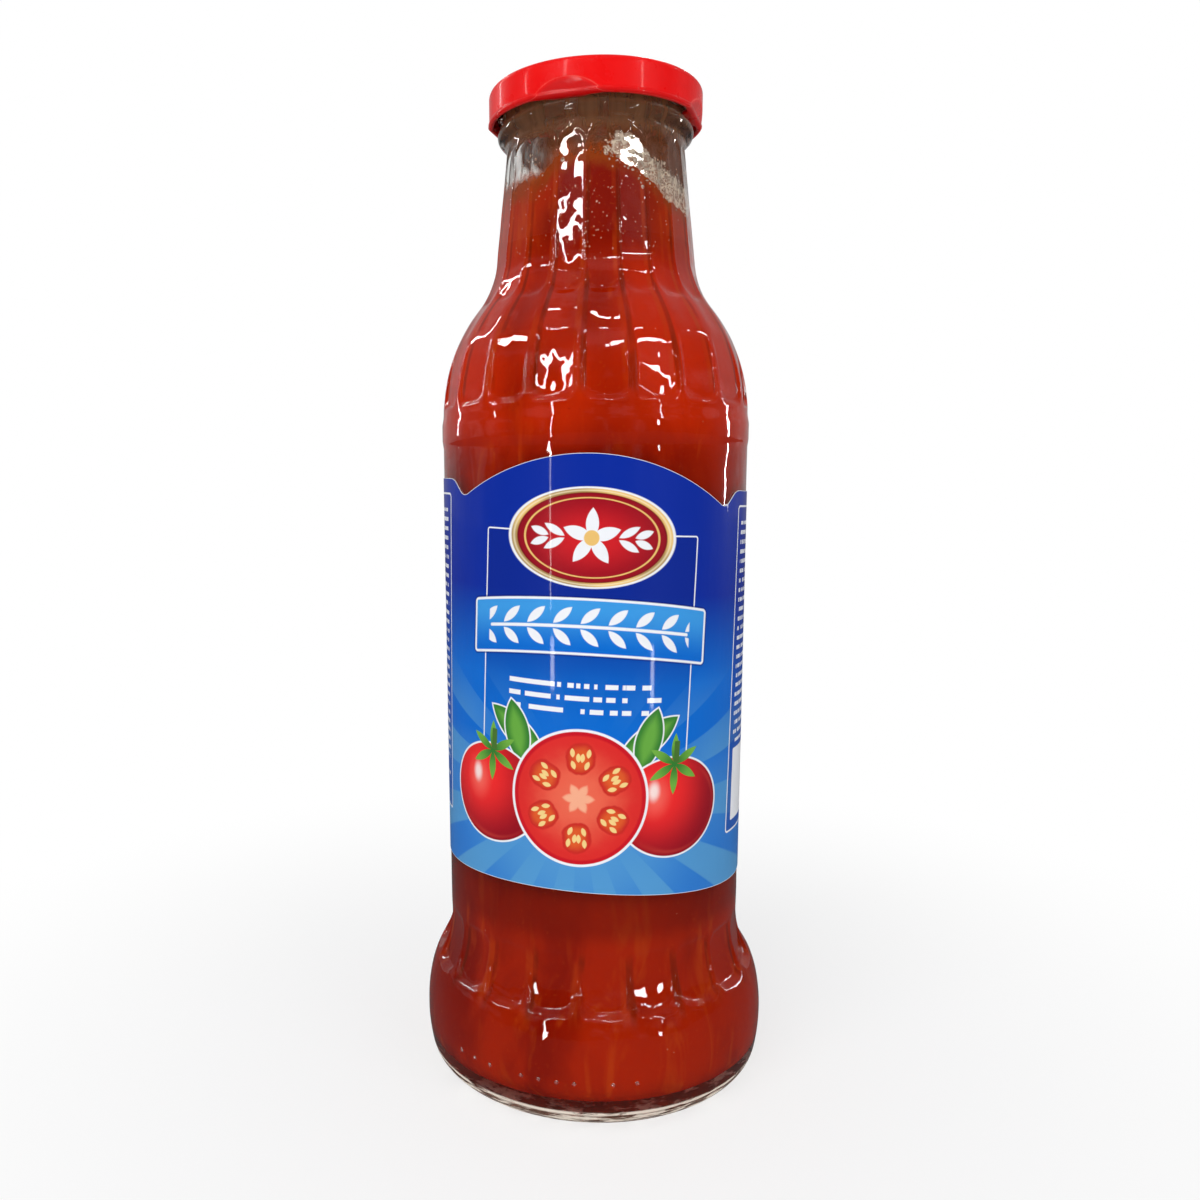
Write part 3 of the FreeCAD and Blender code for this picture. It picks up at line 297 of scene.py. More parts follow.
def traced(start, spans, step=0.05):
    """Close points along lines and arcs. A span is its end and, for an arc, its centre."""
    points = [np.array([start])]
    for end, centre in spans:
        here = points[-1][-1]
        if centre is None:
            count = max(1, math.ceil(abs(end - here) / step))
            points.append(here + (end - here) * np.arange(1, count + 1) / count)
            continue
        swing = np.angle((end - centre) / (here - centre))
        count = max(2, math.ceil(abs(swing) * abs(here - centre) / step))
        turns = np.exp(1j * swing * np.arange(1, count + 1) / count)
        points.append(centre + (here - centre) * turns)
    return np.concatenate(points)


def spaced(points, spacing):
    """Points along a close line, as far apart as spacing gives for each place."""
    gaps = np.abs(np.diff(points))
    middles = (points[1:] + points[:-1]) / 2
    sums = np.concatenate([[0], np.cumsum(gaps / spacing(middles))])
    marks = np.linspace(0, sums[-1], math.ceil(sums[-1]) + 1)
    return np.interp(marks, sums, points.real) + 1j * np.interp(marks, sums, points.imag)


def side_of_bottle(g, inset, floor, heel, neck_end, outside):
    """Start and spans of one side of the bottle, from floor to neck, inset into the glass."""
    wall = g.wall_radius - inset
    bulge_centre = g.wall_radius + g.bulge_proud - g.bulge_arc + 1j * g.bulge_height
    bulge_arc = g.bulge_arc - inset
    waist_arc = g.waist_arc + inset
    base_arc = g.base_arc - inset
    flare_arc = g.flare_arc + inset
    shoulder_start = wall - g.shoulder_inset if outside else wall
    shoulder_arc = g.shoulder_arc if outside else g.shoulder_arc + g.shoulder_inset - inset

    slope = 1j * np.exp(1j * g.waist_lean)
    waist_centre = wall + waist_arc + 1j * g.waist_height
    waist_low = waist_centre + 1j * slope * waist_arc
    base_centre = touching_centre(waist_low, slope, base_arc, 1, bulge_centre, bulge_arc - base_arc,
                                  False)
    heel_centre = touching_centre(1j * floor, 1, heel, 1, bulge_centre, bulge_arc - heel, True)
    shoulder_centre = shoulder_start - shoulder_arc + 1j * g.shoulder_height
    neck = 1j * np.exp(1j * g.neck_lean)
    flare_centre = touching_centre(neck_end, neck, flare_arc, -1, shoulder_centre,
                                   shoulder_arc + flare_arc, True)
    spans = [
        (towards(bulge_centre, heel_centre, bulge_arc), heel_centre),
        (towards(bulge_centre, base_centre, bulge_arc), bulge_centre),
        (foot_of(base_centre, waist_low, slope), base_centre),
        (waist_low, None),
        (wall + 1j * g.waist_height, waist_centre),
    ]
    if outside:
        band = wall + g.band_proud
        spans += [
            (wall + 1j * g.band_bottom, None),
            (band + 1j * (g.band_bottom + g.band_ramp), None),
            (band + 1j * g.band_top, None),
        ]
    spans += [
        (shoulder_start + 1j * g.shoulder_height, None),
        (towards(shoulder_centre, flare_centre, shoulder_arc), shoulder_centre),
        (foot_of(flare_centre, neck_end, neck), flare_centre),
        (neck_end, None),
    ]
    return heel_centre.real + 1j * floor, spans


def outside_of_glass(g):
    """Close points from the middle of the base, over the outside, to the rim's outer edge.

    The inner radius of the ring that the bottle stands on comes with them.
    """
    neck_end = g.finish_radius - g.neck_relief + 1j * g.neck_top
    start, spans = side_of_bottle(g, 0, 0, g.heel_arc, neck_end, True)
    ring_in = start.real - g.foot_width
    dome_centre = 1j * (g.push_up**2 - ring_in**2) / (2 * g.push_up)
    outward = np.exp(1j * g.neck_lean)
    bead_centre = g.finish_radius + g.bead_proud - g.bead_arc + 1j * g.bead_height
    offset = neck_end - bead_centre
    cove = (g.bead_arc**2 - abs(offset) ** 2) / (2 * (dot(offset, outward) - g.bead_arc))
    cove_centre = neck_end + outward * cove
    bead_rise = math.sqrt(g.bead_arc**2 - (g.finish_radius - bead_centre.real) ** 2)
    lip = g.finish_radius - g.lip_arc + 1j * (g.rim_height - g.lip_arc)
    outline = traced(1j * g.push_up, [(ring_in + 0j, dome_centre), (start, None)] + spans + [
        (towards(bead_centre, cove_centre, g.bead_arc), cove_centre),
        (g.finish_radius + 1j * (g.bead_height + bead_rise), bead_centre),
        (g.finish_radius + 1j * lip.imag, None),
        (lip.real + 1j * g.rim_height, lip),
    ])
    return outline, ring_in


def bore_of(g):
    """The radius of the bore."""
    return g.finish_radius - g.finish_wall


def inside_of_glass(g, reach):
    """Start and spans of the cavity up to the foot of the bore, reaching into the wall."""
    neck_end = bore_of(g) + reach / math.cos(g.neck_lean) + 1j * g.bore_foot
    return side_of_bottle(g, g.wall - reach, g.floor_height - reach, g.inner_heel_arc + reach,
                          neck_end, False)


def cavity_radius(g, heights, reach=0.0):
    """The cavity's radius at some heights."""
    points = traced(*inside_of_glass(g, reach))
    return np.interp(heights, points.imag, points.real)


def ripple(turns, heights, seed):
    """The slow unevenness of moulded glass and of hand-filled juice, between about -1 and 1."""
    draw = np.random.default_rng(seed)
    total = np.zeros(np.broadcast(turns, heights).shape)
    for _ in range(7):
        waves = draw.integers(1, 12)
        pace = draw.uniform(0.12, 0.55)
        phases = draw.uniform(0, 2 * math.pi, 2)
        total += np.sin(waves * turns + phases[0] + 2 * np.sin(pace * heights * 0.4)) * np.sin(
            pace * heights + phases[1])
    return total / 4


def smooth_step(low, high, value):
    """0 under low, 1 over high and smooth between."""
    share = np.clip((value - low) / (high - low), 0, 1)
    return share * share * (3 - 2 * share)


def from_nearest(turns, first, count):
    """Angles measured from the nearest of some even places, the first of which is given."""
    pitch = 2 * math.pi / count
    return (turns - first + pitch / 2) % pitch - pitch / 2


def panel_cut(radius, heights, local, floor, half_low, half_high, low, high, corner, soft):
    """How deep a ring of panels cuts, at angles measured from the nearest panel's middle."""
    across = np.abs(radius * np.sin(local))
    half = half_low + (half_high - half_low) * np.clip((heights - low) / (high - low), 0, 1)
    over_side = across - half + corner
    over_end = np.abs(heights - (low + high) / 2) - (high - low) / 2 + corner
    outside = (np.hypot(np.maximum(over_side, 0), np.maximum(over_end, 0))
               + np.minimum(np.maximum(over_side, over_end), 0) - corner)
    depth = radius - floor / np.cos(local)
    round_off = 0.06
    depth = (depth + np.sqrt(depth**2 + round_off**2)) / 2
    return depth * smooth_step(soft / 2, -soft / 2, outside)


def panelled(g, p, points, turns):
    """The glass's outer radius for each point of its profile (down) and each angle (across)."""
    radius = points.real[:, None] + 0 * turns
    heights = points.imag[:, None]
    local = from_nearest(turns, p.turn, p.count)
    slant = math.tan(math.pi / p.count)
    climb = np.gradient(points.imag)
    slope = np.gradient(points.real) / np.where(np.abs(climb) < 1e-6, 1e-6, climb)
    neck_floor = radius - p.neck_depth * np.sqrt(1 + np.clip(slope, -1.5, 1.5) ** 2)[:, None]
    rise = np.clip(heights - g.shoulder_height, 0, p.shoulder_arc * 0.9)
    drop = np.clip(p.base_high - heights, 0, p.base_arc * 0.9)
    rings = [
        (g.wall_radius - p.base_depth + p.base_arc - np.sqrt(p.base_arc**2 - drop**2),
         g.wall_radius * slant - p.base_ridge / 2, 0, p.base_low, p.base_high),
        (g.wall_radius - p.shoulder_depth - p.shoulder_arc + np.sqrt(p.shoulder_arc**2 - rise**2),
         (g.wall_radius - p.shoulder_depth) * slant - p.shoulder_ridge / 2, -p.shoulder_taper,
         p.shoulder_low, p.shoulder_high),
        (neck_floor,
         (g.finish_radius - g.neck_relief - p.neck_depth) * slant - p.neck_ridge / 2
         + p.neck_spread,
         -p.neck_spread, p.neck_low, p.neck_high),
    ]
    cut = np.zeros(radius.shape)
    for floor, half, widening, low, high in rings:
        soft = p.neck_soft if low == p.neck_low else p.soft
        cut = np.maximum(cut, panel_cut(radius, heights, local, floor, half, half + widening, low,
                                        high, p.corner, soft))
    return radius - cut


def panel_turns(p):
    """Angles round the bottle, closer together at the panels' edges."""
    places = np.array([-8.75, -8.4, -8.05, -7.65, -7.2, -6.5, -5.0, -2.6, 0, 2.6, 5.0, 6.5, 7.2,
                       7.65, 8.05, 8.4, 8.75, 9.0]) / 9.0
    pitch = 2 * math.pi / p.count
    starts = p.turn + pitch * np.arange(p.count)
    return (starts[:, None] + places[None, :] * pitch / 2).ravel()


def on_ring(radius, turns, heights):
    """Points at a radius, an angle from the front and a height."""
    radius, turns, heights = np.broadcast_arrays(radius, turns, heights)
    return np.stack([radius * np.sin(turns), -radius * np.cos(turns), heights], axis=-1)


class Skin:
    """The points and faces of a mesh, built of closed rings that are bridged one to the next."""

    def __init__(self):
        self.points = []
        self.faces = []
        self.total = 0
        self.last = None

    def ring(self, points):
        """Add a ring and bridge it to the last one. Their counts may differ by a whole factor."""
        points = np.atleast_2d(points)
        here = (self.total, len(points))
        self.points.append(points)
        self.total += len(points)
        if self.last:
            self.bridge(self.last, here)
        self.last = here

    def bridge(self, low, high):
        counts = (low[1], high[1])
        count = min(counts) if min(counts) > 1 else max(counts)
        for number in range(count):
            sides = []
            for first, size in (low, high):
                factor = size // count
                sides.append([first] if size == 1 else
                             [first + (number * factor + k) % size for k in range(factor + 1)])
            self.faces.append(sides[0] + sides[1][::-1])

    def blob(self, centre, turn, sizes, rows=5, columns=8):
        """A small rounded bead, with its sizes outward, round the bottle and up."""
        self.last = None
        outward = np.array([math.sin(turn), -math.cos(turn), 0.0])
        around = np.array([math.cos(turn), math.sin(turn), 0.0])
        wheel = 2 * math.pi * np.arange(columns) / columns
        for row in range(rows + 1):
            tilt = math.pi * row / rows - math.pi / 2
            middle = centre + np.array([0.0, 0.0, math.sin(tilt) * sizes[2]])
            self.ring(middle if row in (0, rows) else middle + math.cos(tilt) * (
                np.cos(wheel)[:, None] * outward * sizes[0]
                + np.sin(wheel)[:, None] * around * sizes[1]))

    def piece(self, name, slot, finish, sharp=40):
        """A mesh piece in metres that rides on the bottle and takes the given finish; slot is not
        used.
        """
        mesh = bpy.data.meshes.new(name)
        mesh.from_pydata((np.concatenate(self.points) * MM).tolist(), [], self.faces)
        mesh.materials.append(finish)
        mesh.shade_smooth()
        mesh.set_sharp_from_angle(angle=math.radians(sharp))
        mesh.update()
        piece = bpy.data.objects.new(name, mesh)
        bpy.context.scene.collection.objects.link(piece)
        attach(piece, "root")
        return piece


# Materials


class Wire:
    """A socket. Operators and methods on it add the nodes that work out a new value."""

    def __init__(self, finish, socket):
        self.finish = finish
        self.socket = socket

    def work_out(self, operation, *values):
        kind, out = ("VectorMath", "Vector") if self.socket.type == "VECTOR" else ("Math", "Value")
        return self.finish.node(kind, {"operation": operation}, dict(enumerate(values)))[out]

    __add__ = __radd__ = lambda self, other: self.work_out("ADD", self, other)
    __mul__ = __rmul__ = lambda self, other: self.work_out("MULTIPLY", self, other)
    __sub__ = lambda self, other: self.work_out("SUBTRACT", self, other)
    __rsub__ = lambda self, other: self.work_out("SUBTRACT", other, self)
    __truediv__ = lambda self, other: self.work_out("DIVIDE", self, other)
    __neg__ = lambda self: self * -1.0
    __abs__ = lambda self: self.work_out("ABSOLUTE", self)

    def math(self, operation, *others):
        """Any other operation of the Math node."""
        return self.work_out(operation, self, *others)

    def larger(self, other):
        return self.math("MAXIMUM", other)

    def size(self):
        """The length of a vector."""
        return self.finish.node("VectorMath", {"operation": "LENGTH"}, {0: self})["Value"]

    def split(self):
        """The three parts of a vector."""
        parts = self.finish.node("SeparateXYZ", {}, {0: self})
        return [parts[name] for name in "XYZ"]

    def noise(self, scale, detail=3.0, roughness=0.5, distortion=0.0):
        return self.finish.node("TexNoise", {}, {
            "Vector": self, "Scale": scale, "Detail": detail, "Roughness": roughness,
            "Distortion": distortion})["Fac"]

    def cells(self, scale):
        """How far a place is from the walls between cells of uneven size."""
        return self.finish.node("TexVoronoi", {"feature": "DISTANCE_TO_EDGE"}, {
            "Vector": self, "Scale": scale})["Distance"]

    def step(self, low, high):
        """0 where the value is at low, 1 where it is at high, smooth between."""
        return self.finish.node("MapRange", {"interpolation_type": "SMOOTHSTEP"}, {
            "Value": self, "From Min": low, "From Max": high})["Result"]

    def mix(self, first, second):
        """The first colour where this share is 0 and the second where it is 1."""
        return self.finish.node("Mix", {"data_type": "RGBA"}, {0: self, 6: first, 7: second})[2]

    def blend(self, first, second):
        """The same for two shaders."""
        return self.finish.node("MixShader", {}, {0: self, 1: first, 2: second})["Shader"]


class Outputs:
    """The outputs of a node, as wires."""

    def __init__(self, finish, made):
        self.finish = finish
        self.made = made

    def __getitem__(self, name):
        return Wire(self.finish, self.made.outputs[name])


class Finish:
    """A material, or the world, and the nodes that are added to it."""

    def __init__(self, name, holder=None):
        self.holder = holder or bpy.data.materials.new(name)
        self.holder.use_nodes = True
        self.tree = self.holder.node_tree
        self.tree.nodes.clear()

    def node(self, kind, settings=None, values=None):
        """Add a node: its type, its settings, and the values or wires of its sockets."""
        made = self.tree.nodes.new("ShaderNode" + kind)
        for name, value in (settings or {}).items():
            if name == "stops":
                ramp = made.color_ramp.elements
                while len(ramp) < len(value):
                    ramp.new(0.5)
                for element, (place, shade) in zip(ramp, value):
                    element.position = place
                    element.color = (*shade, 1)
            else:
                setattr(made, name, value)
        for name, value in (values or {}).items():
            socket = made.inputs[name]
            if isinstance(value, Wire):
                self.tree.links.new(value.socket, socket)
            elif socket.type == "RGBA":
                socket.default_value = (*value, 1)
            else:
                socket.default_value = (value,) * 3 if socket.type == "VECTOR" and isinstance(
                    value, (int, float)) else value
        return Outputs(self, made)

    def place(self):
        """The place in the piece's own frame, in metres."""
        return self.node("TexCoord")["Object"]

    def joined(self, across, up):
        return self.node("CombineXYZ", {}, {"X": across, "Y": up})["Vector"]

    def bump(self, height, strength, distance):
        return self.node("Bump", {}, {"Height": height, "Strength": strength,
                                      "Distance": distance})["Normal"]

    def principled(self, **values):
        """A Principled shader; underscores in the names stand for spaces."""
        named = {name.replace("_", " "): value for name, value in values.items()}
        return self.node("BsdfPrincipled", {}, named)["BSDF"]

    def surface(self, shader):
        self.node("OutputMaterial", {}, {"Surface": shader})
        return self.holder


def dimmed(shade, share):
    """A colour at a share of its brightness."""
    return tuple(part * share for part in shade)


def glass_finish(g, scuffs):
    """Clear glass that lets the lamps through, with faint waves and scuffs, and a foot band painted
    grey with pale streaks that are partly wear and partly painted highlights, and a painted
    highlight line along its top.
    """
    finish = Finish("bottle_glass")
    place = finish.place()
    up = place.split()[2]
    rub = place.noise(1500.0, 3.0, 0.7)
    rough = 0.004
    for centre, reach in scuffs:
        rough = rub.step(0.56, 0.72) * abs(up - centre).step(reach, 0.0) * 0.16 + rough
    waves = place.noise(95.0, 2.0) * 0.7 + place.noise(230.0, 1.0) * 0.2
    clear = finish.principled(Base_Color=g.tint, Roughness=rough, IOR=1.51, Transmission_Weight=1.0,
                              Normal=finish.bump(waves, 0.5, 0.6 * MM))
    streaks = (place * (0.12, 0.12, 1.0)).noise(1300.0, 3.0, 0.6)
    worn_to = 4.8 * MM
    # Painted light at the foot: line is a painted highlight where light would gather along the top
    # of the thick base, and the pale streaks in the band are partly wear and partly painted
    # highlights
    line = abs(up - worn_to).step(0.7 * MM, 0.2 * MM) * streaks.step(0.38, 0.5)
    band = up.step(worn_to, 3.6 * MM) * (streaks.step(0.46, 0.58) * 0.4 + 0.5)
    pale = line.larger(streaks.step(0.46, 0.6))
    ground = finish.principled(
        Base_Color=pale.mix(linear(126, 102, 84), linear(250, 240, 224)),
        Roughness=streaks * 0.3 + 0.3, Specular_IOR_Level=0.3)
    passing = finish.node("BsdfTransparent", {}, {"Color": (1, 1, 1)})["BSDF"]
    # The foot band, with its wear and its painted highlights, mixed over the clear glass
    foot_wear_and_highlights = (line * 0.85).larger(band).blend(clear, ground)
    return finish.surface(finish.node("LightPath")["Is Shadow Ray"].blend(foot_wear_and_highlights, passing))


def juice_shade(place, j, p):
    """The colour of thick juice: slow clouds, streaks of pulp and fine specks, with painted light
    and painted shade over them.
    """
    broad = (place * (1.0, 1.0, 0.5)).noise(30.0, 2.0, 0.5, 0.5)
    clouds = (place * (1.0, 1.0, 0.4)).noise(80.0, 4.0, 0.6, 0.8)
    streaks = (place * (1.0, 1.0, 0.2)).noise(170.0, 3.0, 0.6, 0.8)
    specks = place.noise(1400.0, 2.0, 0.6)
    across, away, up = (place * 1000).split()

    # Slow clouds, with painted shade in the middle of the neck's front and painted light beside it,
    # and painted light where the shoulder flares in
    neck = up.step(197.0, 208.0)
    aside = abs(across).step(6.0, 19.0)
    still = broad * 0.65 + clouds * 0.35 - neck * (0.16 - aside * 0.26)
    # Painted light where the shoulder flares in and gathers the light
    flare = abs(up - 180).step(26.0, 14.0)
    # Painted shadow: the juice is darker just under the label
    label_painted_shadow = abs(up - 50).step(9.0, 3.0)

    # Painted light and painted shade: between the panels the juice is painted lighter on one side
    # and darker on the other, as if the thick glass gathered light and shade there
    panelled = abs(up - 105).step(63.0, 67.0) * up.step(23.0, 28.0)
    phase = (across.math("ARCTAN2", -away) - p.turn) * p.count
    lit = (phase + 0.55).math("COSINE").step(-0.8, -1.0) * panelled
    shaded = (phase - 0.3).math("COSINE").step(-0.86, -1.0) * panelled

    shade = still.step(0.4, 0.57).mix(j.deep, j.body)
    for share, tone in (
            # Streaks of pulp, with painted light beside the middle of the neck
            (streaks.step(0.54, 0.74) * 0.5 + neck * aside * 0.35, j.warm),
            # Painted light on the shoulder's flare
            (flare * broad.step(0.25, 0.55) * 0.95, j.bright),
            # Painted shadow under the label
            (label_painted_shadow * 0.5, dimmed(j.deep, 0.6)),
            (specks.step(0.62, 0.75) * 0.3, j.warm), (specks.step(0.37, 0.26) * 0.3, j.deep),
            (lit * clouds.step(0.36, 0.62) * 0.5, j.warm),
            (shaded * clouds.step(0.66, 0.4) * 0.55, linear(100, 34, 4))):
        shade = share.mix(shade, tone)
    return shade


def juice_finish(j, p):
    """Thick juice against the glass."""
    finish = Finish("tomato_juice")
    place = finish.place()
    mottle = place.noise(260.0, 4.0)
    return finish.surface(finish.principled(
        Base_Color=juice_shade(place, j, p), Roughness=mottle * 0.2 + 0.4, Specular_IOR_Level=0.0,
        Normal=finish.bump(mottle, 0.25, 0.4 * MM)))


def film_finish(j, p):
    """What clings to the glass at the level and over it: juice, a torn brown veil, and froth."""
    finish = Finish("juice_film")
    place = finish.place()
    across, away, up = (place * 1000).split()
    runs = (place * (1.0, 1.0, 0.5)).noise(170.0, 4.0, 0.6, 0.6)
    torn = place.noise(420.0, 4.0, 0.65, 1.2)
    drips = (place * (1.0, 1.0, 0.25)).noise(420.0, 3.0, 0.6)
    front = away.step(6.0, -6.0)
    left = across.step(-6.0, -13.0)
    right = across.step(3.5, 21.0) * front
    edge = (runs - 0.5) * 7.0 + (torn - 0.5) * 4.5 + (
        front * 2.4 - left * front * 4.6 - right * 9.6)
    over = up - edge - j.level

    # The bore keeps its veil, and the neck is clear on the left
    bore = up.step(226.5, 229.5)
    clear = left * up.step(229.5, 226.5)
    veil = ((runs * 0.6 + drips * 0.4).step(0.36, 0.62) * (0.5 - clear * 0.3)
            + 0.34 - clear * 0.34 + bore * 0.12)
    # The veil is paler and warmer in the bore
    bore_veil_tint = (bore * 0.8).mix(j.film, linear(150, 102, 70))
    thin = over.step(5.5, 2.0).mix(bore_veil_tint, j.thin)
    shade = over.step(1.8, -3.6).mix(thin, juice_shade(place, j, p))

    # Froth: pale walls round small cells, in a belt over the juice on the right
    cells = (place + place.noise(500.0, 2.0) * 0.0012).cells(470.0)
    walls = cells.step(0.2, 0.05).larger(place.cells(1500.0).step(0.16, 0.04) * 0.6)
    belt = abs(over - 3.2).step(4.0, 1.6) * across.step(1.0, 6.0) * front
    froth = (belt + (runs - 0.5) * 1.6 + (torn - 0.5) * 1.8).step(0.46, 0.66)
    tone = drips.step(0.36, 0.54).mix(dimmed(j.foam, 0.6), j.foam)
    return finish.surface(finish.principled(
        Base_Color=(froth * (walls * 0.65 + 0.3)).mix(shade, tone), Roughness=torn * 0.3 + 0.3,
        Alpha=over.step(4.4, 0.4).larger(veil).larger(froth * (walls * 0.5 + 0.4)),
        Specular_IOR_Level=0.05, Normal=finish.bump(runs + walls * froth * 0.5, 0.4, 0.6 * MM)))


def bubble_finish(name, shade, edge):
    """Small wet bubbles and specks of air against the glass."""
    finish = Finish(name)
    mottle = finish.place().noise(2600.0, 2.0)
    return finish.surface(finish.principled(
        Base_Color=mottle.step(0.35, 0.65).mix(edge, shade), Roughness=mottle * 0.2 + 0.08,
        Specular_IOR_Level=0.8, Alpha=mottle.step(0.1, 0.5) * 0.35 + 0.6,
        Normal=finish.bump(mottle, 0.3, 0.2 * MM)))


class Print:
    """Simple printed shapes on a label, in millimetres across and up from its middle."""

    def __init__(self, finish):
        self.finish = finish
        place = finish.node("Attribute", {"attribute_name": "print_place"})["Vector"]
        self.across, self.up, self.edge = place.split()
        self.flat = finish.joined(self.across, self.up)
        self.shade = None

    def disc(self, across, up, radius, stretch=(1.0, 1.0)):
        """Distance outside a disc or, with stretch, an oval."""
        offset = (self.flat - (across, up, 0)) * (1 / stretch[0], 1 / stretch[1], 1)
        return offset.size() - radius

    def box(self, across, up, half_across, half_up, corner, place=None):
        """Distance outside a box with rounded corners."""
        offset = abs((place or self.flat) - (across, up, 0)) - (
            half_across - corner, half_up - corner, 0)
        return offset.larger((0, 0, 0)).size() - corner

    def leaf(self, across, up, turn, long, wide, place=None):
        """Distance outside a pointed leaf, the shape that two discs share."""
        turned = self.finish.node("VectorRotate", {"rotation_type": "Z_AXIS"}, {
            "Vector": (place or self.flat) - (across, up, 0), "Angle": -turn})["Vector"]
        radius = (long**2 + wide**2) / (2 * wide)
        return (abs(turned) + (0, radius - wide, 0)).size() - radius

    def paint(self, share, shade):
        self.shade = share.mix(self.shade, shade)

    def fill(self, distance, shade, soft=0.12, share=1):
        """Paint the inside of a shape."""
        inside = distance.step(soft, -soft)
        self.paint(inside if share == 1 else inside * share, shade)

    def round_from(self, across, up):
        """Distance from a place and the angle round it, from straight up."""
        offset = self.flat - (across, up, 0)
        right, top, _ = offset.split()
        return offset.size(), right.math("ARCTAN2", top)

    def folded(self, angle, count):
        """The angle from the nearest of count directions."""
        pitch = 2 * math.pi / count
        return angle.math("WRAP", pitch / 2, -pitch / 2)

    def words(self, pitch, thick, seed, word, field):
        """Rows of short bars of uneven length in a field, like text too small to read."""
        rows = self.up / pitch
        spread = self.finish.node("TexNoise", {"noise_dimensions": "2D"}, {
            "Vector": self.finish.joined(self.across * word, rows.math("FLOOR") * 7.3 + seed),
            "Scale": 2.2, "Detail": 0.0})["Fac"]
        height = abs(rows.math("FRACT") - 0.5) * pitch
        return ((height - thick / 2).step(0.08, -0.08) * spread.step(0.38, 0.41)
                * field.step(0.12, -0.12))


def tomato(ink, across, up, radius, colours):
    """A round fruit with its shading, a soft glint and a green calyx."""
    body = ink.disc(across, up, radius, (1.08, 0.94))
    lit = ink.disc(across - radius * 0.3, up + radius * 0.3, 0.0)
    ink.fill(body - 0.45, colours.white)
    round_off = lit.step(radius * 0.25, radius * 1.35)
    ink.fill(body, round_off.mix(linear(244, 40, 30), dimmed(colours.red, 0.5)))
    glow = ink.disc(across - radius * 0.36, up + radius * 0.22, 0.0, (1.0, 1.3))
    ink.paint(glow.step(radius * 0.42, 0.0) * 0.55, linear(255, 132, 112))
    glint = ink.disc(across - radius * 0.4, up + radius * 0.32, radius * 0.1, (1.0, 1.6))
    ink.fill(glint, linear(255, 236, 230), 0.8, 0.9)
    back_light = ink.disc(across + radius * 0.1, up - radius * 0.04, radius * 0.8, (1.08, 0.94))
    ink.paint(body.step(-radius * 0.02, -radius * 0.1) * back_light.step(0.0, radius * 0.1)
              * lit.step(radius * 0.9, radius * 1.3) * 0.3, linear(255, 96, 70))
    distance, turn = ink.round_from(across, up + radius * 0.82)
    star = distance - (1 - abs(ink.folded(turn, 6)) * 1.75) * radius * 0.58
    ink.fill(star, distance.step(0, radius * 0.5).mix(colours.green, linear(116, 178, 62)), 0.14)
    stalk = ink.box(across + radius * 0.04, up + radius * 1.05, radius * 0.06, radius * 0.2, 0.2)
    ink.fill(stalk, linear(74, 118, 40))


def tomato_slice(ink, across, up, radius, colours):
    """A cut slice: skin, flesh, a pale core and six chambers with seeds."""
    distance, turn = ink.round_from(across, up)
    uneven = ink.flat.noise(0.35, 2.0) - 0.5
    ink.fill(distance - radius - 0.6, colours.white)
    ink.fill(distance - radius, colours.red)
    ripe = (distance + uneven * 3).step(radius * 0.2, radius * 0.9)
    ink.fill(distance - radius * 0.94, ripe.mix(linear(240, 104, 74), linear(224, 44, 30)), 0.3)
    near = ink.folded(turn, 6)
    ray = ink.finish.joined(distance * near.math("SINE"), distance * near.math("COSINE"))
    sector = ink.box(0, radius * 0.6, radius * 0.21, radius * 0.235, radius * 0.19, ray)
    chamber = sector + uneven * 1.2
    jelly = chamber.step(0, -radius * 0.14).mix(linear(206, 40, 22), linear(226, 92, 30))
    ink.fill(chamber, jelly, 0.25)
    for seed_across, seed_up, seed_turn in ((0.1, 0.5, 1.2), (0.12, 0.68, 1.45), (0.03, 0.61, 1.5)):
        seed = ink.leaf(radius * seed_across, radius * seed_up, seed_turn, radius * 0.068,
                        radius * 0.034, abs(ray))
        ink.fill(seed, linear(248, 214, 138), 0.1)
    ink.fill(distance - (1 + abs(near) * 1.5) * radius * 0.13, linear(250, 176, 140), 0.5)


